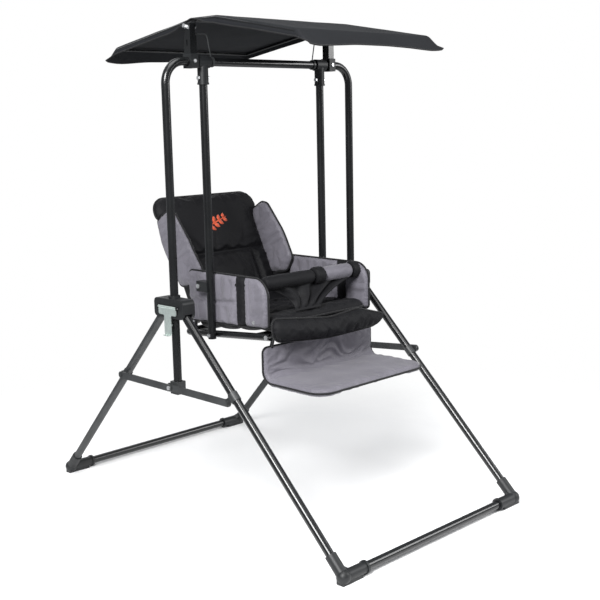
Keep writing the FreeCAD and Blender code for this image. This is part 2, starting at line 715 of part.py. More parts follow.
def make_hub_bolts():
    """Leg pivot bolts and latch hinge pins."""
    bolts = []
    for name, side in SIDES:
        for index, y in enumerate((-1, 1)):
            label = f"hub_bolt_{name}{index}"
            start = side * (s.half_span - s.hub_inboard)
            shank = rod(label + "_shank", "bolt_radius", s.hub_inboard + s.hub_outboard - 0.4,
                        (start, y * s.pivot_spread, s.hub_height), (side, 0, 0))
            head = DOC.addObject("Part::Prism", label + "_head")
            head.Polygon = 6
            set_size(head, "Circumradius", "bolt_radius * 1.85")
            set_size(head, "Height", "bolt_radius * 1.2")
            place = Vector(start, y * s.pivot_spread, s.hub_height)
            head.Placement = Placement(place, pointing((-side, 0, 0)))
            bolts.append(join(label, shank, head))
        bolts.append(rod(f"latch_pin_{name}", LATCH_PIN, s.latch_bar + 10.0,
                         (side * (s.half_span + LATCH_HINGE[0]), -s.latch_bar / 2 - 5.0,
                          s.hub_height + LATCH_HINGE[1]), (0, 1, 0)))
    settle(group("hub_bolt_group", *bolts), "hub_bolts")


def make_latches():
    """T-shaped plates that swing out on a pin across the top, with a lock stud on the stem."""
    for name, side in SIDES:
        label = f"latch_{name}"
        bar = s.latch_bar / 2
        stem = s.latch_stem / 2
        shoulder = -s.latch_bar_tall
        points = [(-bar, 0, 0), (-bar, shoulder, 6.0), (-stem, shoulder, 4.0), (-stem, -s.latch_drop, 8.0),
                  (stem, -s.latch_drop, 8.0), (stem, shoulder, 4.0), (bar, shoulder, 6.0), (bar, 0, 0)]
        plate = outline(label + "_plate", "YZ_Plane", points, "latch_thick")
        knuckle = rod(label + "_knuckle", LATCH_KNUCKLE, "latch_bar", (0, -bar, 0), (0, 1, 0))
        reach = LATCH_HINGE[0] - s.tube_radius - LAYER_GAP
        stud = rod(label + "_stud", 3.0, reach, (-reach, 0, -49.0), (1, 0, 0))
        tab = block(label + "_tab", 9.0, s.latch_stem - 8.0, 1.8, (0, 4.0 - stem, -s.latch_drop + 1.0))
        hole = rod(label + "_hole", LATCH_PIN + s.pivot_fit, 120.0, (0, -60.0, 0), (0, 1, 0))
        piece = cut(label + "_cut", join(label + "_solid", plate, knuckle, stud, tab), hole)
        settle(piece, f"latch_lever_{name}", f"{side} * (half_span + {LATCH_HINGE[0]})", 0,
               f"hub_height + {LATCH_HINGE[1]}", facing(side))


# ---------------------------------------------------------------- hangers

BOLT_DROP = 41.0
SOCKET_FLOOR = 7.0


def make_hangers():
    tube_top = s.bar_height - s.tube_radius - SOCKET_FLOOR - LAYER_GAP
    for name, side in SIDES:
        label = f"bearing_{name}"
        sleeve = rod(label + "_sleeve", "bearing_radius", "bearing_length",
                     (-s.bearing_length / 2, 0, 0), (1, 0, 0))
        socket = rod(label + "_socket", "tube_radius + 3.2", "hanger_socket", (0, 0, 0), (0, 0, -1))
        lip = rod(label + "_lip", "tube_radius + 4.4", 5.0, (0, 0, -s.hanger_socket), (0, 0, 1))
        bar_bore = rod(label + "_bore", "tube_radius + pivot_fit", 90.0, (-45.0, 0, 0), (1, 0, 0))
        tube_bore = rod(label + "_tube_bore", "tube_radius + seat_fit", "hanger_socket",
                        (0, 0, -s.tube_radius - SOCKET_FLOOR), (0, 0, -1))
        bolt_bore = rod(label + "_bolt_bore", "small_bolt + seat_fit", 60.0, (-30.0, 0, -BOLT_DROP),
                        (1, 0, 0))
        solid = join(label + "_solid", sleeve, socket, lip)
        piece = cut(label + "_cut", solid, bar_bore, tube_bore, bolt_bore)
        settle(piece, f"hanger_bearing_{name}", f"{side} * hanger_span", 0, "bar_height")
        body = tube(f"hanger_{name}", "tube_radius", "tube_wall", tube_top - s.hanger_low)
        drill(body, "YZ_Plane", "small_bolt + seat_fit", s.bar_height - BOLT_DROP - s.hanger_low)
        drill(body, "YZ_Plane", "small_bolt + seat_fit", s.seat_bolt_height - s.hanger_low)
        settle(body, f"hanger_{name}", f"{side} * hanger_span", 0, "hanger_low")


def bolt_and_nut(label, radius, start, direction, grip):
    """A hex bolt whose head is at start, with its nut at the end of the grip."""
    way = Vector(*direction)
    begin = Vector(*start)
    shank = rod(label + "_shank", radius, grip + 1.9 * s.small_bolt, tuple(begin), direction)
    head = DOC.addObject("Part::Prism", label + "_head")
    nut = DOC.addObject("Part::Prism", label + "_nut")
    for item, place, turn in ((head, begin, way * -1), (nut, begin + way * grip, way)):
        item.Polygon = 6
        set_size(item, "Circumradius", "small_bolt * 1.9")
        set_size(item, "Height", "small_bolt * 1.3")
        item.Placement = Placement(place, Rotation(Vector(0, 0, 1), turn))
    return join(label, shank, head, nut)


def make_hanger_bolts():
    bolts = []
    wide = s.tube_radius + 3.2
    for name, side in SIDES:
        upper = (side * s.hanger_span - wide, 0, s.bar_height - BOLT_DROP)
        bolts.append(bolt_and_nut(f"upper_bolt_{name}", "small_bolt", upper, (1, 0, 0), 2 * wide))
        outer = side * (s.hanger_span + s.tube_radius)
        inner = side * (s.rail_span - s.rail_radius)
        bolts.append(bolt_and_nut(f"lower_bolt_{name}", "small_bolt",
                                  (outer, 0, s.seat_bolt_height), (-side, 0, 0), abs(outer - inner)))
    settle(group("hanger_bolt_group", *bolts), "hanger_bolts")


# ---------------------------------------------------------------- seat frame

def seat_point(back, up):
    """A point of the tilted seat frame as (y, z): back from the hanger bolt and up from the rail centre."""
    tilt = math.radians(s.seat_tilt)
    return (back * math.cos(tilt) + up * math.sin(tilt),
            s.seat_bolt_height - back * math.sin(tilt) + up * math.cos(tilt))


def make_base_frame():
    rail_rear = s.rail_length - s.rail_front
    rear = seat_point(rail_rear, 0)
    frame = hoop("base_hoop", "rail_span", "rail_length", "rail_bend", "rail_radius", "tube_wall")
    holes = []
    for name, side in SIDES:
        for index, back in enumerate((0.0, FOOT_PIVOT_BACK - s.rail_front)):
            holes.append(rod(f"rail_hole_{name}{index}", "small_bolt + seat_fit", 60.0,
                             (side * (s.rail_span + 30.0), 0, back - rail_rear), (-side, 0, 0)))
    piece = cut("base_frame_cut", frame, *holes)
    settle(piece, "seat_base_frame", 0, rear[0], rear[1], turn_x(-90 - s.seat_tilt))
    cross = seat_point(CROSS_BACK, 0)
    inner = s.rail_span - s.rail_radius - LAYER_GAP
    body = tube("seat_cross_tube", "rail_radius - 1.5", "tube_wall", 2 * inner)
    settle(body, "seat_cross_tube", -inner, cross[0], cross[1], pointing((1, 0, 0)))


FOOT_PIVOT_BACK = 8.0
CROSS_BACK = -150.0
CUSHION_LIFT = 9.8


def make_guard_bar():
    body = hoop("guard_bar_frame", "guard_span", "guard_arm", "guard_bend", "guard_radius", "tube_wall")
    settle(body, "guard_bar_frame", 0, -s.guard_front, "guard_height", turn_x(90 - s.seat_tilt))


def guard_copy(name, extra):
    """The guard bar's outside, larger all round, to hollow the soft pieces that it runs in."""
    shape = swept_rod([(-s.guard_span, 0, -s.guard_arm - 1.0), (-s.guard_span, 0, 0), (s.guard_span, 0, 0),
                       (s.guard_span, 0, -s.guard_arm - 1.0)], s.guard_radius + extra, s.guard_bend)
    piece = own_shape(name, shape)
    piece.Placement = Placement(Vector(0, -s.guard_front, s.guard_height), turn_x(90 - s.seat_tilt))
    return piece


BRACKET_TAB = 44.0
BRACKET_RIVET = 37.0


def guard_arm_height(y):
    return s.guard_height - (y + s.guard_front) * math.tan(math.radians(s.seat_tilt))


def make_side_brackets():
    """Half clamps behind the hangers, riveted through the side walls to the guard bar arms."""
    parts, rivets = [], []
    height = guard_arm_height(BRACKET_RIVET)
    inner = s.wall_inner + s.wall_thick + s.soft_gap
    outer = s.hanger_span + s.tube_radius + 2.5
    for name, side in SIDES:
        start = inner if side > 0 else -outer
        body = block(f"side_block_{name}", outer - inner, BRACKET_TAB, 28.0, (start, 0, height - 14.0))
        bore = rod(f"side_bore_{name}", "tube_radius + seat_fit", 90.0,
                   (side * s.hanger_span, 0, height - 45.0))
        arm = s.guard_span + s.guard_radius + s.soft_gap
        shank = rod(f"side_shank_{name}", "small_bolt", outer - arm + 0.5,
                    (side * arm, BRACKET_RIVET, height), (side, 0, 0))
        head = rod(f"side_head_{name}", "rivet_head", "head_thick",
                   (side * (outer + s.seat_fit), BRACKET_RIVET, height), (side, 0, 0))
        hole = rod(f"side_hole_{name}", "small_bolt + seat_fit", 60.0,
                   (side * (arm - 5.0), BRACKET_RIVET, height), (side, 0, 0))
        parts.append(cut(f"side_bracket_{name}", body, bore, hole))
        rivets.append(join(f"side_rivet_{name}", shank, head))
    settle(group("side_bracket_group", *parts), "hanger_side_brackets")
    settle(group("side_rivet_group", *rivets), "side_bracket_rivets")


def make_seat_cushion():
    """Rounded pad between the rails, tilted with them."""
    half = s.wall_inner - s.soft_gap
    thick = s.cushion_thick
    points = [(-s.cushion_front, 0, 14.0), (s.cushion_rear, 0, 8.0),
              (s.cushion_rear, thick, 12.0), (-s.cushion_front, thick, 22.0)]
    body = outline("seat_cushion", "YZ_Plane", points, 2 * half)
    base = seat_point(0, CUSHION_LIFT)
    settle(body, "seat_cushion", 0, base[0], base[1], turn_x(-s.seat_tilt))


WALL_REAR = 118.0
WALL_CORNER = 12.0
WALL_REAR_LIFT = 30.0
WALL_FRONT_LIFT = 18.0


def make_side_walls():
    top = s.wall_top
    rear_low = seat_point(s.cushion_rear + 4.0, 0)[1] + WALL_REAR_LIFT
    front_low = seat_point(-s.rail_front + 6.0, 0)[1] + WALL_FRONT_LIFT
    front = -s.rail_front + 5.0
    points = [(front, front_low, WALL_CORNER), (WALL_REAR, rear_low, WALL_CORNER),
              (WALL_REAR, top, WALL_CORNER), (front, top, s.wall_corner)]
    height = guard_arm_height(BRACKET_RIVET)
    for name, side in SIDES:
        label = f"side_wall_{name}"
        slab = outline(label + "_slab", "YZ_Plane", points, "wall_thick", centred=False)
        slab.Placement.Base.x = s.wall_inner if side > 0 else -s.wall_inner - s.wall_thick
        tunnel = guard_copy(label + "_tunnel", s.soft_gap)
        hole = rod(label + "_hole", "small_bolt + soft_gap", 60.0,
                   (side * s.guard_span, BRACKET_RIVET, height), (side, 0, 0))
        settle(cut(label + "_cut", slab, tunnel, hole), label)


def make_guard_pad():
    half = s.guard_span - s.guard_bend - 1.0
    bar = (-half, -s.guard_front, s.guard_height)
    pad = rod("guard_pad_outer", "guard_pad", 2 * half, bar, (1, 0, 0))
    bore = rod("guard_pad_bore", "guard_radius + soft_gap", 2 * half + 20.0,
               (-half - 10.0, -s.guard_front, s.guard_height), (1, 0, 0))
    settle(cut("guard_pad_cut", pad, bore), "guard_bar_pad")


CROTCH_LOW_HALF = 32.0
CROTCH_TOP_HALF = 98.0
CROTCH_THICK = 6.0


def make_crotch_panel():
    """Tapered cloth panel from the guard bar down to the cushion."""
    top = (-s.guard_front - 2.0, s.guard_height - s.guard_pad - s.soft_gap)
    foot = seat_point(-s.guard_front - 16.0, CUSHION_LIFT + s.cushion_thick)
    low = (foot[0], foot[1] + s.soft_gap + 0.4)
    run = Vector(0, top[0] - low[0], top[1] - low[1])
    points = [(-CROTCH_LOW_HALF, 0, 0), (CROTCH_LOW_HALF, 0, 0),
              (CROTCH_TOP_HALF, run.Length, 0), (-CROTCH_TOP_HALF, run.Length, 0)]
    body = outline("crotch_panel", "XZ_Plane", points, CROTCH_THICK)
    lean = -math.degrees(math.atan2(run.y, run.z))
    settle(body, "crotch_panel", 0, low[0], low[1], turn_x(lean))


SNAP_RADIUS = 5.0
SNAP_THICK = 1.8
SNAP_HEIGHT = 538.0
SNAP_BACK = 55.0


def make_snaps():
    parts = []
    face = s.wall_inner + s.wall_thick + s.soft_gap
    for name, side in SIDES:
        place = (side * face, SNAP_BACK - s.rail_front, SNAP_HEIGHT)
        parts.append(rod(f"snap_{name}", SNAP_RADIUS, SNAP_THICK, place, (side, 0, 0)))
    settle(group("snap_group", *parts), "snap_buttons")


# ---------------------------------------------------------------- backrest

def back_place(up, ahead=0.0):
    """(y, z) of a point up the backrest hoop and in front of it."""
    lean = math.radians(s.back_angle)
    return (s.back_pivot_y + up * math.sin(lean) - ahead * math.cos(lean),
            s.back_pivot_z + up * math.cos(lean) + ahead * math.sin(lean))


EYE_HALF = 6.6


def make_backrest_frame():
    body = hoop("back_hoop", "back_span", "back_tall", "guard_bend", "back_rod")
    eyes, holes = [], []
    for name, side in SIDES:
        start = (side * s.back_span - EYE_HALF, 0, -s.back_tall)
        eyes.append(rod(f"back_eye_{name}", "bolt_radius + 5", 2 * EYE_HALF, start, (1, 0, 0)))
        holes.append(rod(f"back_eye_hole_{name}", "bolt_radius + pivot_fit", 60.0,
                         (side * s.back_span - 30.0, 0, -s.back_tall), (1, 0, 0)))
    piece = cut("back_frame_cut", join("back_frame_solid", body, *eyes), *holes)
    top = back_place(s.back_tall)
    settle(piece, "backrest_frame", 0, top[0], top[1], turn_x(-s.back_angle))


def make_recline_brackets():
    """Plates that stand on the bent corners of the seat frame and hold the backrest pivots."""
    parts, bolts = [], []
    inner = s.back_span + EYE_HALF + LAYER_GAP
    y = s.back_pivot_y
    z = s.back_pivot_z
    plate_thick = 4.0
    rear = seat_point(s.rail_length - s.rail_front, 0)
    for name, side in SIDES:
        points = [(y - 12.0, z - 34.0, 0), (y + 22.0, z - 34.0, 4.0),
                  (y + 14.0, z + 11.0, 9.0), (y - 12.0, z + 11.0, 9.0)]
        plate = outline(f"recline_plate_{name}", "YZ_Plane", points, plate_thick, centred=False)
        plate.Placement.Base.x = inner if side > 0 else -inner - plate_thick
        frame = own_shape(f"recline_frame_{name}", swept_rod(
            [(-s.rail_span, 0, -200.0), (-s.rail_span, 0, 0), (s.rail_span, 0, 0), (s.rail_span, 0, -200.0)],
            s.rail_radius + s.seat_fit, s.rail_bend))
        frame.Placement = Placement(Vector(0, rear[0], rear[1]), turn_x(-90 - s.seat_tilt))
        hole = rod(f"recline_hole_{name}", "bolt_radius + seat_fit", 60.0, (side * inner - 30.0, y, z),
                   (1, 0, 0))
        parts.append(cut(f"recline_bracket_{name}", plate, frame, hole))
        start = side * (s.back_span - EYE_HALF - LAYER_GAP)
        grip = 2 * EYE_HALF + 2 * LAYER_GAP + plate_thick
        shank = rod(f"recline_shank_{name}", "bolt_radius", grip, (start, y, z), (side, 0, 0))
        head = rod(f"recline_head_{name}", "bolt_radius + 3", 3.0, (start, y, z), (-side, 0, 0))
        bolts.append(join(f"recline_bolt_{name}", shank, head))
    settle(group("recline_bracket_group", *parts), "recline_brackets")
    settle(group("recline_bolt_group", *bolts), "recline_bolts")


def make_backrest_pad():
    half = s.back_pad_width / 2
    low = s.back_pad_low - s.back_tall
    high = low + s.back_pad_tall
    corner = s.back_pad_corner
    points = [(-half, low, 20.0), (half, low, 20.0), (half, high, corner), (-half, high, corner)]
    slab = outline("back_pad_slab", "XZ_Plane", points, "back_pad_thick")
    tunnel = own_shape("back_pad_tunnel", swept_rod(
        [(-s.back_span, 0, -s.back_tall - 20.0), (-s.back_span, 0, 0), (s.back_span, 0, 0),
         (s.back_span, 0, -s.back_tall - 20.0)], s.back_rod + s.soft_gap, s.guard_bend))
    top = back_place(s.back_tall)
    settle(cut("back_pad_cut", slab, tunnel), "backrest_pad", 0, top[0], top[1], turn_x(-s.back_angle))


def make_wings():
    front = -s.back_pad_thick / 2 - s.soft_gap
    low = s.wing_low
    high = low + s.wing_tall
    deep = front - s.wing_deep
    points = [(deep, low + 8.0, 26.0), (front, low, 6.0), (front, high, 6.0), (deep, high - 14.0, 34.0)]
    base = back_place(0)
    for name, side in SIDES:
        label = f"wing_{name}"
        body = outline(label, "YZ_Plane", points, "wing_thick", centred=False)
        start = s.wing_inner if side > 0 else -s.wing_inner - s.wing_thick
        settle(body, label, start, base[0], base[1], turn_x(-s.back_angle))


# ---------------------------------------------------------------- footrest

def foot_pivot():
    point = seat_point(FOOT_PIVOT_BACK - s.rail_front, 0)
    return point[0], point[1]


def foot_path():
    """The footrest rod from one pivot eye to the other: down, forward, across and back."""
    y, z = foot_pivot()
    half = s.foot_span
    low = s.foot_plate_z
    rear = -s.foot_rear - s.foot_pad_thick / 2
    front = -s.foot_front + 14.0
    eye = s.rail_span - s.rail_radius - FOOT_EYE - LAYER_GAP
    return [(-eye, y, z), (-eye, rear, z - 30.0), (-half + 6.0, rear, low), (-half + 6.0, front, low),
            (half - 6.0, front, low), (half - 6.0, rear, low), (eye, rear, z - 30.0), (eye, y, z)]


FOOT_EYE = 8.0
FOOT_EYE_LONG = 13.7
FOOT_BEND = 11.0


def make_footrest():
    y, z = foot_pivot()
    path = foot_path()
    wire = own_shape("foot_wire", swept_rod(path, s.foot_rod, FOOT_BEND))
    eye = s.rail_span - s.rail_radius - LAYER_GAP
    eyes, holes, bolts = [], [], []
    for name, side in SIDES:
        eyes.append(rod(f"foot_eye_{name}", "small_bolt + 4.5", FOOT_EYE_LONG, (side * eye, y, z),
                        (-side, 0, 0)))
        holes.append(rod(f"foot_eye_hole_{name}", "small_bolt + pivot_fit", 60.0, (side * (eye + 20.0), y, z),
                         (-side, 0, 0)))
        outer = side * (s.rail_span + s.rail_radius)
        grip = 2 * s.rail_radius + 2 * LAYER_GAP + FOOT_EYE_LONG
        shank = rod(f"foot_shank_{name}", "small_bolt", grip, (outer, y, z), (-side, 0, 0))
        head = rod(f"foot_head_{name}", "rivet_head", "head_thick", (outer, y, z), (side, 0, 0))
        tail = rod(f"foot_tail_{name}", "small_bolt + 2", 2.0, (outer - side * grip, y, z), (-side, 0, 0))
        bolts.append(join(f"foot_bolt_{name}", shank, head, tail))
    settle(cut("foot_frame_cut", join("foot_frame_solid", wire, *eyes), *holes), "footrest_frame")
    settle(group("foot_bolt_group", *bolts), "footrest_rivets")


def make_footrest_pad():
    """Cloth curtain and padded plate in one L, with the rod running inside."""
    rear = -s.foot_rear
    thick = s.foot_pad_thick
    low = s.foot_plate_z - thick / 2
    front = -s.foot_front
    edge = thick / 2 - 0.1
    points = [(front, low, edge), (rear, low, 9.0), (rear, s.foot_pad_top, 4.0),
              (rear - thick, s.foot_pad_top, 4.0), (rear - thick, low + thick, 5.0),
              (front, low + thick, edge)]
    slab = outline("foot_pad_slab", "YZ_Plane", points, 2 * s.foot_pad_half)
    tunnel = own_shape("foot_pad_tunnel", swept_rod(foot_path(), s.foot_rod + s.soft_gap, FOOT_BEND))
    settle(cut("foot_pad_cut", slab, tunnel), "footrest_pad")


# ---------------------------------------------------------------- canopy

CLAMP_WIDE = 24.0
CLAMP_DEEP = 34.0
POST_WIDE = 21.0
POST_DEEP = 25.0
POST_WALL = 1.5


def make_canopy_clamps():
    clamps, posts, sliders, stays = [], [], [], []
    base = s.bar_height + 19.0
    for name, side in SIDES:
        centre = side * clamp_centre()
        label = f"clamp_{name}"
        body = block(label + "_body", CLAMP_WIDE, CLAMP_DEEP, 36.0,
                     (centre - CLAMP_WIDE / 2, -CLAMP_DEEP / 2, s.bar_height - 17.0))
        bore = rod(label + "_bore", "tube_radius + seat_fit", 60.0, (centre - 30.0, 0, s.bar_height),
                   (1, 0, 0))
        clamps.append(cut(label, body, bore))
        tall = above_bar(s.post_top) - base
        shell = block(f"post_{name}_shell", POST_WIDE, POST_DEEP, tall,
                      (centre - POST_WIDE / 2, -POST_DEEP / 2, base))
        hollow = block(f"post_{name}_hollow", POST_WIDE, POST_DEEP - 2 * POST_WALL, tall + 20.0,
                       (centre - POST_WIDE / 2 - side * POST_WALL, POST_WALL - POST_DEEP / 2, base - 10.0))
        slot = block(f"post_{name}_slot", POST_WIDE, 5.0, 15.0, (centre, -2.5, above_bar(s.post_top) - 27.0))
        if side < 0:
            slot.Placement.Base.x = centre - POST_WIDE
        posts.append(cut(f"post_{name}", shell, hollow, slot))
        sliders.append(make_slider(name, side, base))
        stays.append(make_stay(name, side))
    settle(group("clamp_group", *clamps), "canopy_clamps")
    settle(group("post_group", *posts), "canopy_posts")
    settle(group("slider_group", *sliders), "canopy_sliders")
    settle(group("stay_group", *stays), "canopy_stays")


SLIDER_WIDE = 16.5
SLIDER_GAP = 0.2


def slider_face():
    """Inboard face of the slider, from the middle."""
    return clamp_centre() + POST_WIDE / 2 - POST_WALL - SLIDER_GAP - SLIDER_WIDE


def make_slider(name, side, base):
    """Inner channel that stands in the post, with the pivot hole near its top."""
    wide = SLIDER_WIDE
    deep = POST_DEEP - 2 * POST_WALL - 2 * SLIDER_GAP
    outer = slider_face() + wide
    start = outer - wide if side > 0 else -outer
    low = base + LAYER_GAP
    shell = block(f"slider_{name}_shell", wide, deep, above_bar(s.slider_top) - low, (start, -deep / 2, low))
    inside = block(f"slider_{name}_inside", wide - 4.0, deep - 4.0, above_bar(s.slider_top) - low - 12.0,
                   (start + 2.0, 2.0 - deep / 2, low + 2.0))
    hole = rod(f"slider_{name}_hole", "small_bolt + seat_fit", 90.0,
               (side * clamp_centre() - 45.0, 0, above_bar(s.canopy_pivot)), (1, 0, 0))
    return cut(f"slider_{name}", shell, inside, hole)


STAY_RADIUS = 1.6
STAY_SPAN = 188.0


def make_stay(name, side):
    """Wire from the slider to a ring on the top bar."""
    top = above_bar(s.canopy_pivot) - 17.0
    foot = s.bar_height + s.tube_radius + 1.0
    start = slider_face()
    wire = own_shape(f"stay_wire_{name}", swept_rod(
        [(side * start, 0, top), (side * 200.0, 0, top), (side * STAY_SPAN, 0, foot)], STAY_RADIUS, 9.0))
    outer = rod(f"stay_ring_{name}", "tube_radius + 2.6", 7.0,
                (side * STAY_SPAN - 3.5, 0, s.bar_height), (1, 0, 0))
    bore = rod(f"stay_bore_{name}", "tube_radius + seat_fit", 60.0,
               (side * STAY_SPAN - 30.0, 0, s.bar_height), (1, 0, 0))
    return cut(f"stay_{name}", join(f"stay_solid_{name}", wire, outer), bore)


def canopy_line(drop):
    """(y, z) of the roof line, lowered by a drop: front fold, two ridges, rear fold."""
    fold = above_bar(s.fold_height) - drop
    ridge = above_bar(s.ridge_height) - drop
    return [(-s.canopy_front, fold), (-s.ridge_front, ridge), (s.ridge_rear, ridge), (s.canopy_rear, fold)]


def make_canopy_rods():
    """Two bent side rods with pivot lugs, and four cross rods between them."""
    line = canopy_line(s.cloth_thick + s.canopy_rod + s.soft_gap)
    inset = 5.0
    line[0] = (line[0][0] + inset, line[0][1] + 0.6)
    line[3] = (line[3][0] - inset, line[3][1] + 0.6)
    sides, lugs_top = [], line[2][1]
    for name, side in SIDES:
        label = f"canopy_side_{name}"
        x = side * s.canopy_rod_span
        bent = own_shape(label + "_rod", swept_rod([(x, y, z) for y, z in line], s.canopy_rod, 30.0))
        lug = block(label + "_lug", 3.0, 16.0, lugs_top - above_bar(s.canopy_pivot),
                    (x - 1.5, -8.0, above_bar(s.canopy_pivot)))
        eye = rod(label + "_eye", 8.0, 3.0, (x - 1.5, 0, above_bar(s.canopy_pivot)), (1, 0, 0))
        hole = rod(label + "_hole", "small_bolt + pivot_fit", 60.0,
                   (x - 30.0, 0, above_bar(s.canopy_pivot)), (1, 0, 0))
        sides.append(cut(label, join(label + "_solid", bent, lug, eye), hole))
    settle(group("canopy_side_group", *sides), "canopy_side_rods")
    reach = s.canopy_rod_span - s.canopy_rod - 0.1
    crosses = []
    for index, (y, z) in enumerate(line):
        inward = 2.0 if index in (0, 3) else 0.0
        low = z - (0.6 if index in (1, 2) else 0.0)
        crosses.append(rod(f"canopy_cross{index}", "canopy_rod", 2 * reach,
                           (-reach, y + (inward if index == 0 else -inward), low), (1, 0, 0)))
    settle(group("canopy_cross_group", *crosses), "canopy_cross_rods")


def make_canopy_bolts():
    parts = []
    for name, side in SIDES:
        label = f"canopy_bolt_{name}"
        head_face = s.canopy_rod_span - 1.5 - LAYER_GAP
        tip = clamp_centre() + POST_WIDE / 2 + 12.0
        shank = rod(label + "_shank", "small_bolt", tip - head_face,
                    (side * head_face, 0, above_bar(s.canopy_pivot)),
                    (side, 0, 0))
        head = rod(label + "_head", 5.0, 3.0, (side * head_face, 0, above_bar(s.canopy_pivot)), (-side, 0, 0))
        face = clamp_centre() + POST_WIDE / 2 - POST_WALL
        boss = rod(label + "_boss", 5.0, 7.0, (side * face, 0, above_bar(s.canopy_pivot)), (side, 0, 0))
        wings = []
        for index, turn in enumerate((20.0, 200.0)):
            wing = block(f"{label}_wing{index}", 2.4, 11.0, 7.0, (0, 0, 0))
            turned = Placement(Vector(side * (face + 4.0) - 1.2, 0, above_bar(s.canopy_pivot)), turn_x(turn))
            wing.Placement = turned.multiply(Placement(Vector(0, 1.5, -3.5), Rotation()))
            wings.append(wing)
        parts.append(join(label, shank, head, boss, *wings))
    settle(group("canopy_bolt_group", *parts), "canopy_wing_bolts")


def make_canopy_cloth():
    """Roof sheet with spread front and rear valances and short side valances."""
    half = s.canopy_half
    thick = s.cloth_thick
    roof = canopy_line(0)
    low = above_bar(s.fold_height) - s.valance_tall
    front = (-s.canopy_front - s.valance_flare, low)
    rear = (s.canopy_rear + s.valance_flare, low)
    upper = [front] + roof + [rear]
    under = [(front[0] + 1.3 * thick, low)] + canopy_line(thick) + [(rear[0] - 1.3 * thick, low)]
    under[1] = (under[1][0] + 0.6, under[1][1])
    under[4] = (under[4][0] - 0.6, under[4][1])
    ring = [(y, z, 0) for y, z in under] + [(y, z, 0) for y, z in reversed(upper)]
    sheet = outline("canopy_sheet", "YZ_Plane", ring, 2 * half)
    edges = []
    for name, side in SIDES:
        edge = canopy_line(1.0)
        drop = canopy_line(s.side_valance)
        notch = above_bar(s.canopy_pivot) + 14.5
        lower = [drop[0], (-70.0, drop[1][1]), (-48.0, notch), (48.0, notch),
                 (70.0, drop[1][1] - 6.0), drop[3]]
        ring = [(y, z, 0) for y, z in lower] + [(y, z, 0) for y, z in reversed(edge)]
        valance = outline(f"canopy_valance_{name}", "YZ_Plane", ring, "cloth_thick", centred=False)
        valance.Placement.Base.x = half - thick if side > 0 else -half
        edges.append(valance)
    settle(join("canopy_cloth_solid", sheet, *edges), "canopy_cloth")


# ---------------------------------------------------------------- build, check and write

def main():
    make_top_arch()
    make_uprights()
    make_lower_brackets()
    make_frame_rivets()
    make_links()
    make_legs()
    make_cross_tubes()
    make_feet()
    make_leg_ears()
    make_hubs()
    make_hub_bolts()
    make_latches()
    make_hangers()
    make_hanger_bolts()
    make_base_frame()
    make_guard_bar()
    make_side_brackets()
    make_seat_cushion()
    make_side_walls()
    make_guard_pad()
    make_crotch_panel()
    make_snaps()
    make_backrest_frame()
    make_recline_brackets()
    make_backrest_pad()
    make_wings()
    make_footrest()
    make_footrest_pad()
    make_canopy_clamps()
    make_canopy_rods()
    make_canopy_bolts()
    make_canopy_cloth()
    DOC.recompute()
    broken = [item.Label for item in DOC.Objects if "Invalid" in item.State or "Error" in item.State]
    if broken:
        raise RuntimeError("failed objects: " + ", ".join(broken))
    os.makedirs("parts", exist_ok=True)
    for piece in NODES:
        if piece.Shape.isNull() or not piece.Shape.isValid():
            raise RuntimeError(piece.Label + " has no valid shape")
        if piece.Shape.Volume <= 0 or not piece.Shape.Solids:
            raise RuntimeError(piece.Label + " holds no solid")
        piece.Shape.exportStep(f"parts/{piece.Label}.step")
    print(len(NODES), "nodes")


main()
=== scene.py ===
import json
import math

import bmesh
import bpy
import numpy as np
from mathutils import Matrix, Vector, noise
from mathutils.bvhtree import BVHTree
from mathutils.geometry import delaunay_2d_cdt


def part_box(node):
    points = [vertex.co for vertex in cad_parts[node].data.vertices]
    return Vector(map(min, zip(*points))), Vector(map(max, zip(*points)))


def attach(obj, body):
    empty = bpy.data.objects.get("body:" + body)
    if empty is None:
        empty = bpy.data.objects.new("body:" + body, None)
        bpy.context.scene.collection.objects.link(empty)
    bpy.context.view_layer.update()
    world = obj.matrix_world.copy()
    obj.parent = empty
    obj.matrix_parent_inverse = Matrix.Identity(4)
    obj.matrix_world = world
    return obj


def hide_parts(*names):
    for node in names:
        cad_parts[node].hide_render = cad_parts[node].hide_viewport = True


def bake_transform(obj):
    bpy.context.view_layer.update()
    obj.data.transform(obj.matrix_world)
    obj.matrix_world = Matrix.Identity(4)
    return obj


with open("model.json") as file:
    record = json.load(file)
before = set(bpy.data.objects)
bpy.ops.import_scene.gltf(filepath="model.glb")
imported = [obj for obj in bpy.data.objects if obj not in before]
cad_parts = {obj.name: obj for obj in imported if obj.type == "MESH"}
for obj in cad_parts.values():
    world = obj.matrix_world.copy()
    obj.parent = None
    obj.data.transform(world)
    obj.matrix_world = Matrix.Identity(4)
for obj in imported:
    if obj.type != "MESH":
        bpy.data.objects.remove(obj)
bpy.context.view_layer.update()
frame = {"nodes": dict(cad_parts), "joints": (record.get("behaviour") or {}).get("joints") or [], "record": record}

# Looks of the folding garden swing. Everything is in metres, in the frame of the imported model.
# Soft pieces are built about the boxes and joints of the model, then swelled by cloth simulation.

SCENE = bpy.context.scene
SCENE.view_settings.view_transform = "Standard"
JOINTS = {joint["name"]: joint for joint in frame["joints"]}

FINE = 0.006  # spacing of the points of a soft piece
CLEAR = 0.6  # share of the spacing that loose points keep off a sewn edge
SEAM_CLEAR = 0.55  # the same off a seam
PIPING = 0.0028  # radius of the cord round a pad
CLOTH = 0.002  # thickness of a plain cloth
PRESSURE = 4.0  # of the filling on the cloth of a pad
FRAMES = 20  # length of the cloth simulation
SEAM_PULL = 0.62  # share of a pad's height that a seam takes away
GATHER_WAVE = 0.034  # spacing of the gathers along an edge
GATHER_REACH = 0.022  # how far they run in from it
AIM = Vector((0, 0, 0.6))  # what the lamps point at


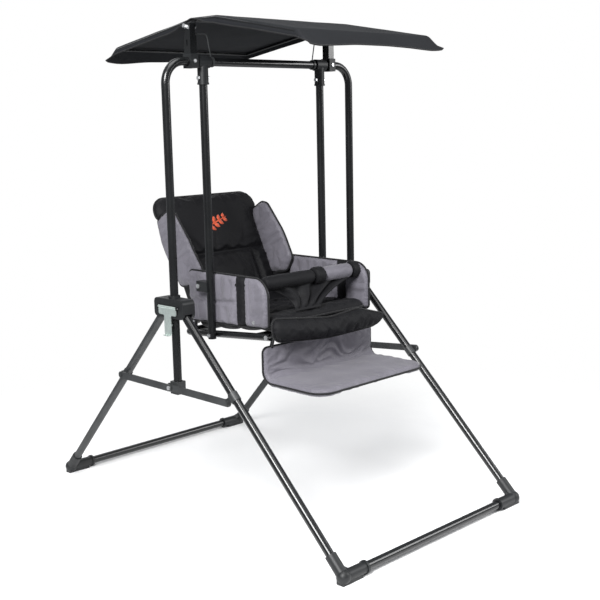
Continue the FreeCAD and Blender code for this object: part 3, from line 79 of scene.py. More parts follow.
def pitch():
    """Spacing of the points of a soft piece."""
    return FINE


# ---------------------------------------------------------------- camera, light, floor

def make_camera():
    """A camera a little above the seat, ahead of the swing and to its left."""
    azimuth = math.radians(-44.387)
    lift = math.radians(9.973)
    roll = math.radians(-1.198)
    place = Vector((-1.963, -2.1055, 1.0597))
    level = math.cos(lift)
    back = Vector((math.sin(azimuth) * level, -math.cos(azimuth) * level, math.sin(lift)))
    right = Vector((math.cos(azimuth), math.sin(azimuth), 0))
    up = back.cross(right)
    across = math.cos(roll) * right + math.sin(roll) * up
    upward = math.cos(roll) * up - math.sin(roll) * right
    data = bpy.data.cameras.new("camera")
    data.lens = 61.78
    data.sensor_width = 36.0
    camera = bpy.data.objects.new("camera", data)
    turn = Matrix((across, upward, back)).transposed()
    camera.matrix_world = Matrix.Translation(place) @ turn.to_4x4()
    SCENE.collection.objects.link(camera)
    SCENE.camera = camera


def make_lamp(name, place, size, power):
    """A square area lamp that points at the middle of the swing."""
    data = bpy.data.lights.new(name, "AREA")
    data.size = size
    data.energy = power
    lamp = bpy.data.objects.new(name, data)
    lamp.location = place
    aim = AIM - Vector(place)
    lamp.rotation_euler = aim.to_track_quat("-Z", "Y").to_euler()
    SCENE.collection.objects.link(lamp)


def make_world():
    """White to the camera, and a faint cool light on the swing."""
    world = bpy.data.worlds.new("studio")
    SCENE.world = world
    world.use_nodes = True
    tree = world.node_tree
    tree.nodes.clear()
    soft = tree.nodes.new("ShaderNodeBackground")
    soft.inputs["Color"].default_value = (0.93, 0.96, 1.0, 1)
    soft.inputs["Strength"].default_value = 0.3
    white = tree.nodes.new("ShaderNodeBackground")
    white.inputs["Color"].default_value = (1, 1, 1, 1)
    mix = tree.nodes.new("ShaderNodeMixShader")
    out = tree.nodes.new("ShaderNodeOutputWorld")
    path = tree.nodes.new("ShaderNodeLightPath")
    tree.links.new(path.outputs["Is Camera Ray"], mix.inputs[0])
    tree.links.new(soft.outputs[0], mix.inputs[1])
    tree.links.new(white.outputs[0], mix.inputs[2])
    tree.links.new(mix.outputs[0], out.inputs["Surface"])


def make_floor():
    """A pale floor that fades into the white backdrop away from the swing."""
    bpy.ops.mesh.primitive_circle_add(vertices=96, radius=6.0, fill_type="NGON", location=(0, 0, 0))
    floor = bpy.context.object
    floor.name = "floor"
    material = bpy.data.materials.new("floor")
    material.use_nodes = True
    tree = material.node_tree
    tree.nodes.clear()
    place = tree.nodes.new("ShaderNodeTexCoord")
    length = tree.nodes.new("ShaderNodeVectorMath")
    length.operation = "LENGTH"
    fade = tree.nodes.new("ShaderNodeMapRange")
    fade.inputs["From Min"].default_value = 0.75
    fade.inputs["From Max"].default_value = 1.6
    paint = tree.nodes.new("ShaderNodeBsdfDiffuse")
    paint.inputs["Color"].default_value = (0.97, 0.97, 0.97, 1)
    clear = tree.nodes.new("ShaderNodeBsdfTransparent")
    mix = tree.nodes.new("ShaderNodeMixShader")
    out = tree.nodes.new("ShaderNodeOutputMaterial")
    tree.links.new(place.outputs["Object"], length.inputs[0])
    tree.links.new(length.outputs["Value"], fade.inputs["Value"])
    tree.links.new(fade.outputs["Result"], mix.inputs[0])
    tree.links.new(paint.outputs[0], mix.inputs[1])
    tree.links.new(clear.outputs[0], mix.inputs[2])
    tree.links.new(mix.outputs[0], out.inputs["Surface"])
    floor.data.materials.append(material)


# ---------------------------------------------------------------- materials

def start_material(name, metallic=0.0, **fixed):
    material = bpy.data.materials.new(name)
    material.use_nodes = True
    shader = material.node_tree.nodes["Principled BSDF"]
    shader.inputs["Metallic"].default_value = metallic
    for socket, value in fixed.items():
        shader.inputs[socket.replace("_", " ")].default_value = value
    return material, material.node_tree, shader


def noise_node(tree, scale, detail=3.0):
    place = tree.nodes.new("ShaderNodeTexCoord")
    grain = tree.nodes.new("ShaderNodeTexNoise")
    grain.inputs["Scale"].default_value = scale
    grain.inputs["Detail"].default_value = detail
    tree.links.new(place.outputs["Object"], grain.inputs["Vector"])
    return grain.outputs["Fac"]


def ramp_between(tree, factor, low, high, start=0.35, end=0.65):
    ramp = tree.nodes.new("ShaderNodeValToRGB")
    ramp.color_ramp.elements[0].position = start
    ramp.color_ramp.elements[1].position = end
    ramp.color_ramp.elements[0].color = (*low, 1)
    ramp.color_ramp.elements[1].color = (*high, 1)
    tree.links.new(factor, ramp.inputs[0])
    return ramp.outputs[0]


def span(tree, factor, low, high):
    reach = tree.nodes.new("ShaderNodeMapRange")
    reach.inputs["To Min"].default_value = low
    reach.inputs["To Max"].default_value = high
    tree.links.new(factor, reach.inputs["Value"])
    return reach.outputs["Result"]


def bump(tree, shader, height, strength, distance):
    node = tree.nodes.new("ShaderNodeBump")
    node.inputs["Strength"].default_value = strength
    node.inputs["Distance"].default_value = distance
    tree.links.new(height, node.inputs["Height"])
    tree.links.new(node.outputs[0], shader.inputs["Normal"])


def shaded(color, share):
    return tuple(channel * share for channel in color)


def painted(name, color, rough_low, rough_high, grain=900.0, peel=0.12, coat=0.0):
    """Enamel or moulded plastic: fine orange peel and uneven gloss."""
    material, tree, shader = start_material(name, Coat_Weight=coat, Coat_Roughness=0.12)
    cloud = noise_node(tree, 14.0)
    tree.links.new(ramp_between(tree, cloud, shaded(color, 0.8), shaded(color, 1.25)),
                   shader.inputs["Base Color"])
    tree.links.new(span(tree, cloud, rough_low, rough_high), shader.inputs["Roughness"])
    if peel:
        bump(tree, shader, noise_node(tree, grain, 2.0), peel, 0.0004)
    return material


def plated(name, color, rough_low, rough_high):
    """Zinc plate with a cloudy spangle."""
    material, tree, shader = start_material(name, metallic=0.85)
    cloud = noise_node(tree, 160.0)
    tree.links.new(ramp_between(tree, cloud, shaded(color, 0.9), color), shader.inputs["Base Color"])
    tree.links.new(span(tree, cloud, rough_low, rough_high), shader.inputs["Roughness"])
    bump(tree, shader, noise_node(tree, 700.0, 2.0), 0.1, 0.0003)
    return material


def weave_height(tree, threads):
    """Two crossing sets of threads, set slantwise so that every side of a piece shows them."""
    place = tree.nodes.new("ShaderNodeTexCoord")
    heights = []
    for turn in ((0.0, 0.6, 0.78), (0.0, -0.6, 2.35)):
        mapping = tree.nodes.new("ShaderNodeMapping")
        mapping.inputs["Rotation"].default_value = turn
        wave = tree.nodes.new("ShaderNodeTexWave")
        wave.inputs["Scale"].default_value = threads
        wave.inputs["Distortion"].default_value = 0.6
        tree.links.new(place.outputs["Object"], mapping.inputs["Vector"])
        tree.links.new(mapping.outputs[0], wave.inputs["Vector"])
        heights.append(wave.outputs["Fac"])
    both = tree.nodes.new("ShaderNodeMath")
    both.operation = "MAXIMUM"
    tree.links.new(heights[0], both.inputs[0])
    tree.links.new(heights[1], both.inputs[1])
    return both.outputs[0]


def woven(name, color, rough, sheen, threads=260.0):
    """Polyester cloth: crossed threads with painted shade in the valleys between them, soft sheen, and slow
    changes of tone.
    """
    material, tree, shader = start_material(name, Sheen_Weight=sheen, Sheen_Roughness=0.45,
                                            Specular_IOR_Level=0.22)
    cloud = noise_node(tree, 9.0, 5.0)
    tone = ramp_between(tree, cloud, shaded(color, 0.84), shaded(color, 1.14), 0.3, 0.7)
    height = weave_height(tree, threads)
    # The threads' height darkens the colour in the low valleys where the bump sinks: painted shade, laid over the
    # random tone.
    tone_and_thread_shade = tree.nodes.new("ShaderNodeMix")
    tone_and_thread_shade.data_type = "RGBA"
    tone_and_thread_shade.blend_type = "MULTIPLY"
    tone_and_thread_shade.inputs[0].default_value = 0.35
    tree.links.new(tone, tone_and_thread_shade.inputs[6])
    tree.links.new(height, tone_and_thread_shade.inputs[7])
    tree.links.new(tone_and_thread_shade.outputs[2], shader.inputs["Base Color"])
    tree.links.new(span(tree, cloud, rough - 0.07, rough + 0.07), shader.inputs["Roughness"])
    bump(tree, shader, height, 0.35, 0.0004)
    return material


def make_materials():
    return {
        "black_tube": painted("black_tube", (0.006, 0.0065, 0.007), 0.2, 0.28, peel=0, coat=0.15),
        "dark_steel": painted("dark_steel", (0.03, 0.032, 0.033), 0.34, 0.48),
        "black_plastic": painted("black_plastic", (0.01, 0.011, 0.012), 0.42, 0.55, grain=1500.0),
        "bright_fastener": plated("bright_fastener", (0.78, 0.79, 0.8), 0.22, 0.38),
        "galvanised": plated("galvanised", (0.74, 0.83, 0.79), 0.36, 0.52),
        "black_fabric": woven("black_fabric", (0.0065, 0.0065, 0.008), 0.66, 0.012),
        "grey_fabric": woven("grey_fabric", (0.178, 0.17, 0.198), 0.5, 0.16),
        "canopy_fabric": woven("canopy_fabric", (0.0105, 0.0115, 0.014), 0.74, 0.01, 320.0),
        "piping": woven("piping", (0.012, 0.012, 0.013), 0.6, 0.1, 500.0),
        "motif_thread": woven("motif_thread", (0.78, 0.12, 0.05), 0.45, 0.2, 700.0),
    }


def dress_nodes():
    """Every node of the model takes the material of its slot in the record."""
    for row in frame["record"]["subparts"]:
        node = frame["nodes"][row["node"]]
        material = MATERIALS[row["material_slot"]]
        if not node.material_slots:
            node.data.materials.append(material)
        for material_slot in node.material_slots:
            material_slot.material = material


# ---------------------------------------------------------------- outlines

def arc_points(before, here, after, radius, step):
    """Points of the arc that rounds a corner."""
    back = (before - here).normalized()
    ahead = (after - here).normalized()
    half = back.angle(ahead) / 2
    centre = here + (back + ahead).normalized() * (radius / math.sin(half))
    first = here + back * (radius / math.tan(half)) - centre
    last = here + ahead * (radius / math.tan(half)) - centre
    turn = first.angle_signed(last)
    count = max(2, int(abs(turn) * radius / step) + 1)
    points = []
    for index in range(count + 1):
        angle = -turn * index / count
        x = first.x * math.cos(angle) - first.y * math.sin(angle)
        y = first.x * math.sin(angle) + first.y * math.cos(angle)
        points.append(centre + Vector((x, y)))
    return points


def outline(corners, step):
    """Closed ring of evenly spaced points round (x, y, radius) corners."""
    ring = []
    count = len(corners)
    for index, (x, y, radius) in enumerate(corners):
        before = Vector(corners[index - 1][:2])
        after = Vector(corners[(index + 1) % count][:2])
        ring += arc_points(before, Vector((x, y)), after, radius, step / 2)
    ring = np.array([tuple(point) for point in ring])
    closed = np.vstack([ring, ring[:1]])
    runs = np.linalg.norm(np.diff(closed, axis=0), axis=1)
    along = np.concatenate([[0], np.cumsum(runs)])
    spots = np.linspace(0, along[-1], max(12, int(along[-1] / step)), endpoint=False)
    return np.stack([np.interp(spots, along, closed[:, axis]) for axis in (0, 1)], 1)


def edge_distance(points, ring):
    """Distance of each point from a ring, and how far along the ring its nearest spot is."""
    ends = np.roll(ring, -1, 0)
    runs = ends - ring
    lengths = np.linalg.norm(runs, axis=1)
    starts = np.concatenate([[0], np.cumsum(lengths)[:-1]])
    offset = points[:, None] - ring[None]
    share = np.clip((offset * runs).sum(2) / (lengths ** 2), 0, 1)
    gaps = np.linalg.norm(offset - share[..., None] * runs, axis=2)
    nearest = gaps.argmin(1)
    rows = np.arange(len(points))
    return gaps[rows, nearest], starts[nearest] + share[rows, nearest] * lengths[nearest]


def inside(points, ring):
    ends = np.roll(ring, -1, 0)
    x, y = points[:, :1], points[:, 1:]
    crosses = (ring[:, 1] > y) != (ends[:, 1] > y)
    rise = np.where(ends[:, 1] == ring[:, 1], 1e-12, ends[:, 1] - ring[:, 1])
    meets = ring[:, 0] + (y - ring[:, 1]) * (ends[:, 0] - ring[:, 0]) / rise
    return (crosses & (x < meets)).sum(1) % 2 == 1


def seam_points(start, end, ring, step):
    """Evenly spaced points of a sewn line, clear of the ring."""
    start = np.array(start)
    run = np.array(end) - start
    count = max(2, int(np.linalg.norm(run) / step))
    line = start + run * np.linspace(0, 1, count + 1)[:, None]
    return line[inside(line, ring) & (edge_distance(line, ring)[0] > step * CLEAR)]


def filled(ring, step, seams):
    """Points and triangles that fill a ring, with edges along the seams.
    The ring's own points come first."""
    low = ring.min(0)
    high = ring.max(0)
    rows = []
    tall = step * math.sqrt(3) / 2
    for index in range(int((high[1] - low[1]) / tall) + 1):
        xs = np.arange(low[0] + step / 2 * (index % 2), high[0], step)
        rows.append(np.stack([xs, np.full(len(xs), low[1] + index * tall)], 1))
    lattice = np.vstack(rows)
    lattice = lattice[inside(lattice, ring)]
    lattice = lattice[edge_distance(lattice, ring)[0] > step * CLEAR]
    parts = [ring]
    edges = []
    count = len(ring)
    for start, end in seams:
        line = seam_points(start, end, ring, step)
        lattice = lattice[segment_distance(lattice, start, end) > step * SEAM_CLEAR]
        edges += [(count + index, count + index + 1) for index in range(len(line) - 1)]
        parts.append(line)
        count += len(line)
    points = [Vector(point) for point in np.vstack(parts + [lattice])]
    made = delaunay_2d_cdt(points, edges, [list(range(len(ring)))], 1, 1e-7)
    return np.array([tuple(point) for point in made[0]]), [list(face) for face in made[2]]


# ---------------------------------------------------------------- soft pieces

def new_mesh(name, points, faces, material):
    data = bpy.data.meshes.new(name)
    data.from_pydata([tuple(point) for point in points], [], faces)
    work = bmesh.new()
    work.from_mesh(data)
    bmesh.ops.recalc_face_normals(work, faces=work.faces)
    work.to_mesh(data)
    work.free()
    data.shade_smooth()
    piece = bpy.data.objects.new(name, data)
    SCENE.collection.objects.link(piece)
    data.materials.append(MATERIALS[material])
    return piece


def grid_faces(tall, wide):
    """Four-sided faces of a grid of points that is built row by row."""
    faces = []
    for row in range(tall):
        for column in range(wide):
            first = row * (wide + 1) + column
            faces.append([first, first + 1, first + wide + 2, first + wide + 1])
    return faces


def subdivide(piece, levels=1):
    smooth = piece.modifiers.new("subdivision", "SUBSURF")
    smooth.levels = smooth.render_levels = levels


def thicken(piece, thickness, levels=1):
    """Give a cloth its thickness and smooth it."""
    piece.modifiers.new("cloth", "SOLIDIFY").thickness = thickness
    subdivide(piece, levels)


def pucker(along, gap, wave, reach, depth):
    """Gathers that run in from a sewn edge and fade."""
    drift = np.array([noise.noise(Vector((spot * 23.0, 0.3, 0))) for spot in along])
    return depth * np.exp(-gap / reach) * np.sin(2 * math.pi * along / wave + 3.0 * drift)


def pillow(name, corners, place, thick, material, *, edge=0.02, seams=(), seam_wide=0.006, under=0.5,
           gather=0.0014, crumple=0.0012, folds=None, body="swing", stands_for=(),
           cap=0.006):
    """A stuffed piece sewn from two faces that meet at a piped edge.
    place(x, y, height) puts a flat point into the frame, and seams are (start, end) of sewn lines."""
    step = pitch()
    ring = outline(corners, step)
    flat, triangles = filled(ring, step, seams)
    gap, along = edge_distance(flat, ring)
    on_edge = gap < 1e-6
    swell = np.sqrt(1 - (1 - np.clip(gap / edge, 0, 1)) ** 2)
    sewn = np.zeros(len(flat))
    for start, end in seams:
        reach = segment_distance(flat, start, end)
        sewn = np.maximum(sewn, np.exp(-(reach / seam_wide) ** 2))
    swell = swell * (1 - SEAM_PULL * sewn)
    ripple = pucker(along, gap, GATHER_WAVE, GATHER_REACH, gather)
    rumple = np.array([noise.noise(Vector((x * 21, y * 21, len(name)))) for x, y in flat]) * crumple
    if folds:
        rumple = rumple + np.array([folds(x, y) for x, y in flat])
    loose = np.clip(gap / edge, 0, 1) * (1 - sewn)
    above = thick * (1 - under) * swell + (ripple + rumple) * loose
    below = thick * under * swell + (ripple - rumple) * 0.5 * loose
    points = [place(x, y, h) for (x, y), h in zip(flat, above)]
    lower = {}
    for index in np.flatnonzero(~on_edge):
        lower[index] = len(points)
        points.append(place(flat[index][0], flat[index][1], -below[index]))
    faces = list(triangles)
    for face in triangles:
        faces.append([lower.get(index, index) for index in reversed(face)])
    piece = new_mesh(name, points, faces, material)
    held = [index for index in range(len(flat)) if on_edge[index] or sewn[index] > 0.6]
    held += [lower[index] for index in held if index in lower]
    puff(piece, held, cap)
    subdivide(piece)
    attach(piece, body)
    if stands_for:
        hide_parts(*stands_for)
    make_piping(name + "_piping", [place(x, y, 0) for x, y in ring], body)
    return piece


def segment_distance(points, start, end):
    start = np.array(start)
    run = np.array(end) - start
    share = np.clip((points - start) @ run / (run @ run), 0, 1)
    return np.linalg.norm(points - start - share[:, None] * run, axis=1)


def puff(piece, held, cap):
    """Swell a piece with the cloth solver. No point moves further than the cap."""
    group = piece.vertex_groups.new(name="sewn")
    group.add(held, 1.0, "REPLACE")
    rest = np.array([tuple(vertex.co) for vertex in piece.data.vertices])
    cloth = piece.modifiers.new("Cloth", "CLOTH")
    settings = cloth.settings
    settings.quality = 5
    settings.mass = 0.25
    settings.tension_stiffness = 12
    settings.compression_stiffness = 12
    settings.bending_stiffness = 0.4
    settings.shrink_min = -0.035
    settings.use_pressure = True
    settings.uniform_pressure_force = PRESSURE
    settings.vertex_group_mass = "sewn"
    settings.effector_weights.gravity = 0.0
    cloth.collision_settings.use_collision = False
    cloth.point_cache.frame_start = 1
    cloth.point_cache.frame_end = FRAMES
    for step in range(1, FRAMES + 1):
        SCENE.frame_set(step)
    shape = piece.evaluated_get(bpy.context.evaluated_depsgraph_get()).to_mesh()
    moved = np.array([tuple(vertex.co) for vertex in shape.vertices]) - rest
    piece.modifiers.remove(cloth)
    SCENE.frame_set(1)
    far = np.linalg.norm(moved, axis=1, keepdims=True)
    moved *= np.minimum(1, cap / np.maximum(far, 1e-9))
    piece.data.vertices.foreach_set("co", (rest + moved).ravel())
    piece.data.update()


def swept(name, line, radius_at, material, closed=False, around=10):
    """A tube of changing radius along a line of points."""
    line = [Vector(point) for point in line]
    count = len(line)
    points, faces = [], []
    side = None
    for index, spot in enumerate(line):
        ahead = line[(index + 1) % count] if closed or index < count - 1 else spot
        behind = line[index - 1] if closed or index > 0 else spot
        run = (ahead - behind).normalized()
        side = side or run.orthogonal()
        side = (side - run * side.dot(run)).normalized()
        other = run.cross(side)
        for turn in range(around):
            angle = 2 * math.pi * turn / around
            reach = radius_at(index / (count - 1), angle)
            points.append(spot + (side * math.cos(angle) + other * math.sin(angle)) * reach)
    for index in range(count if closed else count - 1):
        first = index * around
        second = (index + 1) % count * around
        for turn in range(around):
            following = (turn + 1) % around
            faces.append([first + turn, first + following, second + following, second + turn])
    if not closed:
        faces.append(list(reversed(range(around))))
        faces.append(list(range((count - 1) * around, count * around)))
    return new_mesh(name, points, faces, material)


def make_piping(name, line, body, radius=PIPING):
    cord = swept(name, line, lambda share, angle: radius, "piping", closed=True, around=8)
    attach(cord, body)


# ---------------------------------------------------------------- backrest

def back_frame():
    """Backrest pivot, its direction up the pad and its direction out of the front."""
    pivot = Vector(JOINTS["backrest_recline"]["pos_m"])
    rod = 0.006
    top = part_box("backrest_frame")[1]
    lean = math.atan2(top.y - rod - pivot.y, top.z - rod - pivot.z)
    return pivot, Vector((0, math.sin(lean), math.cos(lean))), Vector((0, -math.cos(lean), math.sin(lean)))


BACK_HALF = 0.191  # half the width above the wings
BACK_WAIST = 0.169  # half the width between the wings
BACK_LOW = 0.026  # heights up the pad from the pivot
BACK_CREASE = 0.188
BACK_SHOULDER = 0.29
BACK_WIDE = 0.318
BACK_HIGH = 0.374
BACK_CHANNEL = 0.115  # half the distance between the two upright seams
BACK_THICK = 0.036


def make_backrest():
    pivot, up, out = back_frame()

    def place(x, y, height):
        return pivot + Vector((x, 0, 0)) + up * y + out * height

    corners = [(-BACK_WAIST, BACK_LOW, 0.022), (BACK_WAIST, BACK_LOW, 0.022),
               (BACK_WAIST, BACK_SHOULDER, 0.02), (BACK_HALF, BACK_WIDE, 0.02),
               (BACK_HALF, BACK_HIGH, 0.045), (-BACK_HALF, BACK_HIGH, 0.045),
               (-BACK_HALF, BACK_WIDE, 0.02), (-BACK_WAIST, BACK_SHOULDER, 0.02)]
    seams = [((-BACK_HALF, BACK_CREASE), (BACK_HALF, BACK_CREASE)),
             ((-BACK_CHANNEL, BACK_LOW), (-BACK_CHANNEL, BACK_CREASE)),
             ((BACK_CHANNEL, BACK_LOW), (BACK_CHANNEL, BACK_CREASE))]
    pad = pillow("back_cushion", corners, place, BACK_THICK, "black_fabric", edge=0.03, seams=seams,
                 seam_wide=0.009, body="backrest", stands_for=["backrest_pad"])
    make_motif(pad, place, out)


def make_motif(pad, place, out):
    """A plain embroidered sprig: a curved stem with paired leaves."""
    tree = BVHTree.FromObject(pad, bpy.context.evaluated_depsgraph_get())

    def on_pad(x, y):
        hit = tree.ray_cast(place(x, y, 0.08), -out)[0]
        return (hit or place(x, y, BACK_THICK / 2)) + out * 0.0007

    points, faces = [], []

    def leaf(x, y, angle, long, wide):
        first = len(points)
        count = 8
        for side in (1, -1):
            for index in range(count + 1):
                share = index / count
                along = long * share
                across = side * wide * math.sin(math.pi * share) ** 0.8
                points.append(on_pad(x + along * math.cos(angle) - across * math.sin(angle),
                                     y + along * math.sin(angle) + across * math.cos(angle)))
        for index in range(count):
            other = first + count + 1 + index
            faces.append([first + index, first + index + 1, other + 1, other])

    stem_start = (-0.045, 0.262)
    leaf_wide = 0.0062
    leaf(*stem_start, 0.32, 0.098, 0.0022)
    for index in range(4):
        share = 0.18 + index * 0.21
        x = stem_start[0] + 0.093 * share
        y = stem_start[1] + 0.031 * share
        leaf_long = 0.026 - 0.003 * index
        leaf(x, y, 1.25, leaf_long, leaf_wide)
        leaf(x, y, -0.62, leaf_long, leaf_wide)
    motif = new_mesh("sprig", points, faces, "motif_thread")
    motif.modifiers.new("thread", "SOLIDIFY").thickness = 0.0008
    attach(motif, "backrest")


# Wing outline: distance ahead of the backrest hoop, distance up it, and corner radius.
WING = [(-0.008, 0.106, 0.02), (0.066, 0.084, 0.03), (0.108, 0.113, 0.02), (0.098, 0.208, 0.15),
        (0.074, 0.304, 0.02), (0.052, 0.318, 0.02), (-0.012, 0.312, 0.012), (-0.022, 0.24, 0.1)]


def make_wings():
    pivot, up, out = back_frame()
    for name, side in (("left", -1), ("right", 1)):
        low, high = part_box(f"wing_{name}")
        middle = (low.x + high.x) / 2

        def place(x, y, height):
            """The wing leans outwards above the side wall."""
            lean = 0.005 * min(1, max(0, (y - 0.12) / 0.06))
            return pivot + Vector((middle + side * (lean - height), 0, 0)) + out * x + up * y

        pillow(f"wing_pad_{name}", WING, place, 0.02, "grey_fabric", edge=0.024, gather=0.0018,
               body="backrest", stands_for=[f"wing_{name}"])


# ---------------------------------------------------------------- seat

def make_seat():
    low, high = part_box("seat_cushion")
    tilt = math.radians(5)
    centre = (low + high) / 2
    back = Vector((0, math.cos(tilt), -math.sin(tilt)))
    up = Vector((0, math.sin(tilt), math.cos(tilt)))
    half = (high.x - low.x) / 2 - 0.003
    deep = (high.y - low.y) / 2 / math.cos(tilt) - 0.004

    def place(x, y, height):
        return centre + Vector((x, 0, 0)) + back * y + up * height

    corners = [(-half, -deep, 0.03), (half, -deep, 0.03), (half, deep, 0.02), (-half, deep, 0.02)]
    seams = [((-half, spot), (half, spot)) for spot in (0.0, -0.085, 0.085)]
    pillow("seat_pad", corners, place, 0.042, "black_fabric", edge=0.032, seams=seams, seam_wide=0.008,
           body="swing", stands_for=["seat_cushion"])


# Front flap of the seat: across, below its top line, and corner radius.
FLAP = [(-0.213, 0.004, 0.02), (-0.016, 0.026, 0.2), (0.1, 0.018, 0.05), (0.222, 0.052, 0.006),
        (0.185, 0.081, 0.06), (-0.02, 0.081, 0.25), (-0.213, 0.064, 0.03)]


def make_seat_flap():
    """The almond-shaped padded flap that hangs over the front rail."""
    low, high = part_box("seat_cushion")
    front = low.y - 0.013
    top = high.z + 0.004

    def place(x, y, height):
        bow = 0.014 * math.cos(math.pi * x / 0.45) + 0.01 * math.sin(math.pi * y / 0.09)
        return Vector((x, front - bow - height, top - y))

    pillow("seat_flap", FLAP, place, 0.026, "black_fabric", edge=0.03, under=0.3, gather=0.0004,
           crumple=0.002, body="swing", cap=0.004)


def make_liner():
    """Cloth that closes the gap between the seat pad and the foot of the backrest."""
    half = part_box("seat_cushion")[1].x - 0.001
    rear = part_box("seat_cushion")[1].y
    base = JOINTS["backrest_recline"]["pos_m"]
    line = [(rear - 0.045, base[2] + 0.03), (rear - 0.012, base[2] + 0.026),
            (base[1] - 0.004, base[2] + 0.016), (base[1] + 0.004, base[2] + 0.03),
            (base[1] + 0.009, base[2] + 0.056)]
    points = []
    wide = 40
    for y, z in line:
        for column in range(wide + 1):
            x = (2 * column / wide - 1) * half
            points.append((x, y, z + 0.002 * noise.noise(Vector((x * 30, y * 30, 0)))))
    liner = new_mesh("seat_liner", points, grid_faces(len(line) - 1, wide), "black_fabric")
    thicken(liner, CLOTH, 2)
    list(line[0])
    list(line[-1])
    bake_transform(liner)


# How far the gussets' two sewn edges stand from the middle of the seat.
GUSSET_WALL = 0.189
GUSSET_BACK = 0.17


def make_gussets():
    """Slack cloth between the rear edge of each side wall and the edge of the backrest."""
    pivot, up, _ = back_frame()
    for name, side in (("left", -1), ("right", 1)):
        low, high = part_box(f"side_wall_{name}")
        points = []
        wide = 12
        tall = 18
        for row in range(tall + 1):
            rise = row / tall
            wall = Vector((side * GUSSET_WALL, high.y - 0.014,
                           low.z + 0.014 + (high.z - low.z - 0.03) * rise))
            edge = pivot + Vector((side * GUSSET_BACK, 0, 0)) + up * (0.03 + 0.15 * rise)
            for column in range(wide + 1):
                share = column / wide
                spot = wall.lerp(edge, share)
                slack = math.sin(math.pi * share) * (0.4 + 0.6 * math.sin(9 * rise + 2 * share))
                points.append(spot - Vector((side * 0.004 * slack, 0, 0)))
        gusset = new_mesh(f"gusset_{name}", points, grid_faces(tall, wide), "black_fabric")
        thicken(gusset, CLOTH)
        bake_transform(gusset)


BAND_WIDE = 0.034  # black strip down each side pad


def make_side_walls():
    for name, side in (("left", -1), ("right", 1)):
        low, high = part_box(f"side_wall_{name}")
        middle = (low.x + high.x) / 2
        base = low.z + 0.006

        def place(x, y, height):
            return Vector((middle + side * height, x, y))

        front = low.y + 0.003
        rear = high.y - 0.003
        top = high.z - 0.003
        corners = [(front, base + 0.012, 0.012), (rear, base, 0.012), (rear, top, 0.012), (front, top, 0.048)]
        band = front + 0.085
        mid = (base + top) / 2
        seams = [((band, base), (band, top)), ((band + BAND_WIDE, base), (band + BAND_WIDE, top)),
                 ((band + BAND_WIDE, mid), (rear, mid - 0.012))]
        wall = pillow(f"side_pad_{name}", corners, place, 0.021, "grey_fabric", edge=0.016, seams=seams,
                      seam_wide=0.005, gather=0.002, crumple=0.002, body="swing",
                      stands_for=[f"side_wall_{name}"], cap=0.005)
        wall.data.materials.append(MATERIALS["black_fabric"])
        for face in wall.data.polygons:
            if band < face.center.y < band + BAND_WIDE:
                face.material_index = 1


def make_guard_pad():
    """Padded cover of the front bar: a long black part, a loop, and a grey sleeve."""
    low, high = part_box("guard_bar_pad")
    centre = (low + high) / 2
    full = (high.z - low.z) / 2
    spans = [("guard_cover", low.x, 0.008, "black_fabric", full - 0.001),
             ("guard_loop", 0.010, 0.046, "black_fabric", full + 0.003),
             ("guard_sleeve", 0.048, high.x - 0.017, "grey_fabric", full),
             ("guard_end", high.x - 0.015, high.x + 0.009, "black_fabric", full + 0.003)]
    for name, start, end, material, radius in spans:
        count = max(10, int((end - start) / 0.004))
        line = [Vector((start + (end - start) * index / count, centre.y, centre.z))
                for index in range(count + 1)]

        def reach(share, angle, radius=radius, start=start):
            ends = min(share, 1 - share)
            closing = 1 - 0.28 * math.exp(-ends * 26)
            round_bar = (math.cos(angle) * 1.6, math.sin(angle) * 1.6)
            crease = noise.noise(Vector((start + share * 5.0, *round_bar)))
            return radius * closing * (1 + 0.05 * crease)

        cover = swept(name, line, reach, material, around=36)
        subdivide(cover)
        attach(cover, "swing")
        if name == "guard_cover":
            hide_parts("guard_bar_pad")


def make_crotch_panel():
    """Cloth that falls in folds from the bar to a narrow seam on the cushion."""
    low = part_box("crotch_panel")[0]
    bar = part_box("guard_bar_pad")
    top = Vector((0.0, (bar[0].y + bar[1].y) / 2, bar[0].z + 0.004))
    foot = Vector((-0.045, low.y - 0.022, low.z - 0.001))
    narrow = 0.048
    spread = 0.112
    depth = 0.010
    wide = 44
    tall = 30
    points = []
    for row in range(tall + 1):
        drop = row / tall
        half = narrow + spread * (1 - drop) ** 2.2
        middle = top.lerp(foot, drop)
        for column in range(wide + 1):
            share = 2 * column / wide - 1
            swing = share * 12.0 + 1.6 * drop + 1.5 * noise.noise(Vector((share * 2, drop * 2, 5)))
            fold = depth * math.sin(swing) * math.sin(math.pi * min(1, 0.12 + drop)) ** 0.6
            points.append((middle.x + share * half, middle.y + fold, middle.z))
    panel = new_mesh("crotch_cloth", points, grid_faces(tall, wide), "black_fabric")
    thicken(panel, 0.003)
    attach(panel, "swing")
    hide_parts("crotch_panel")


# ---------------------------------------------------------------- footrest

FOOT_BEND = 0.03  # radius of the bend between curtain and plate


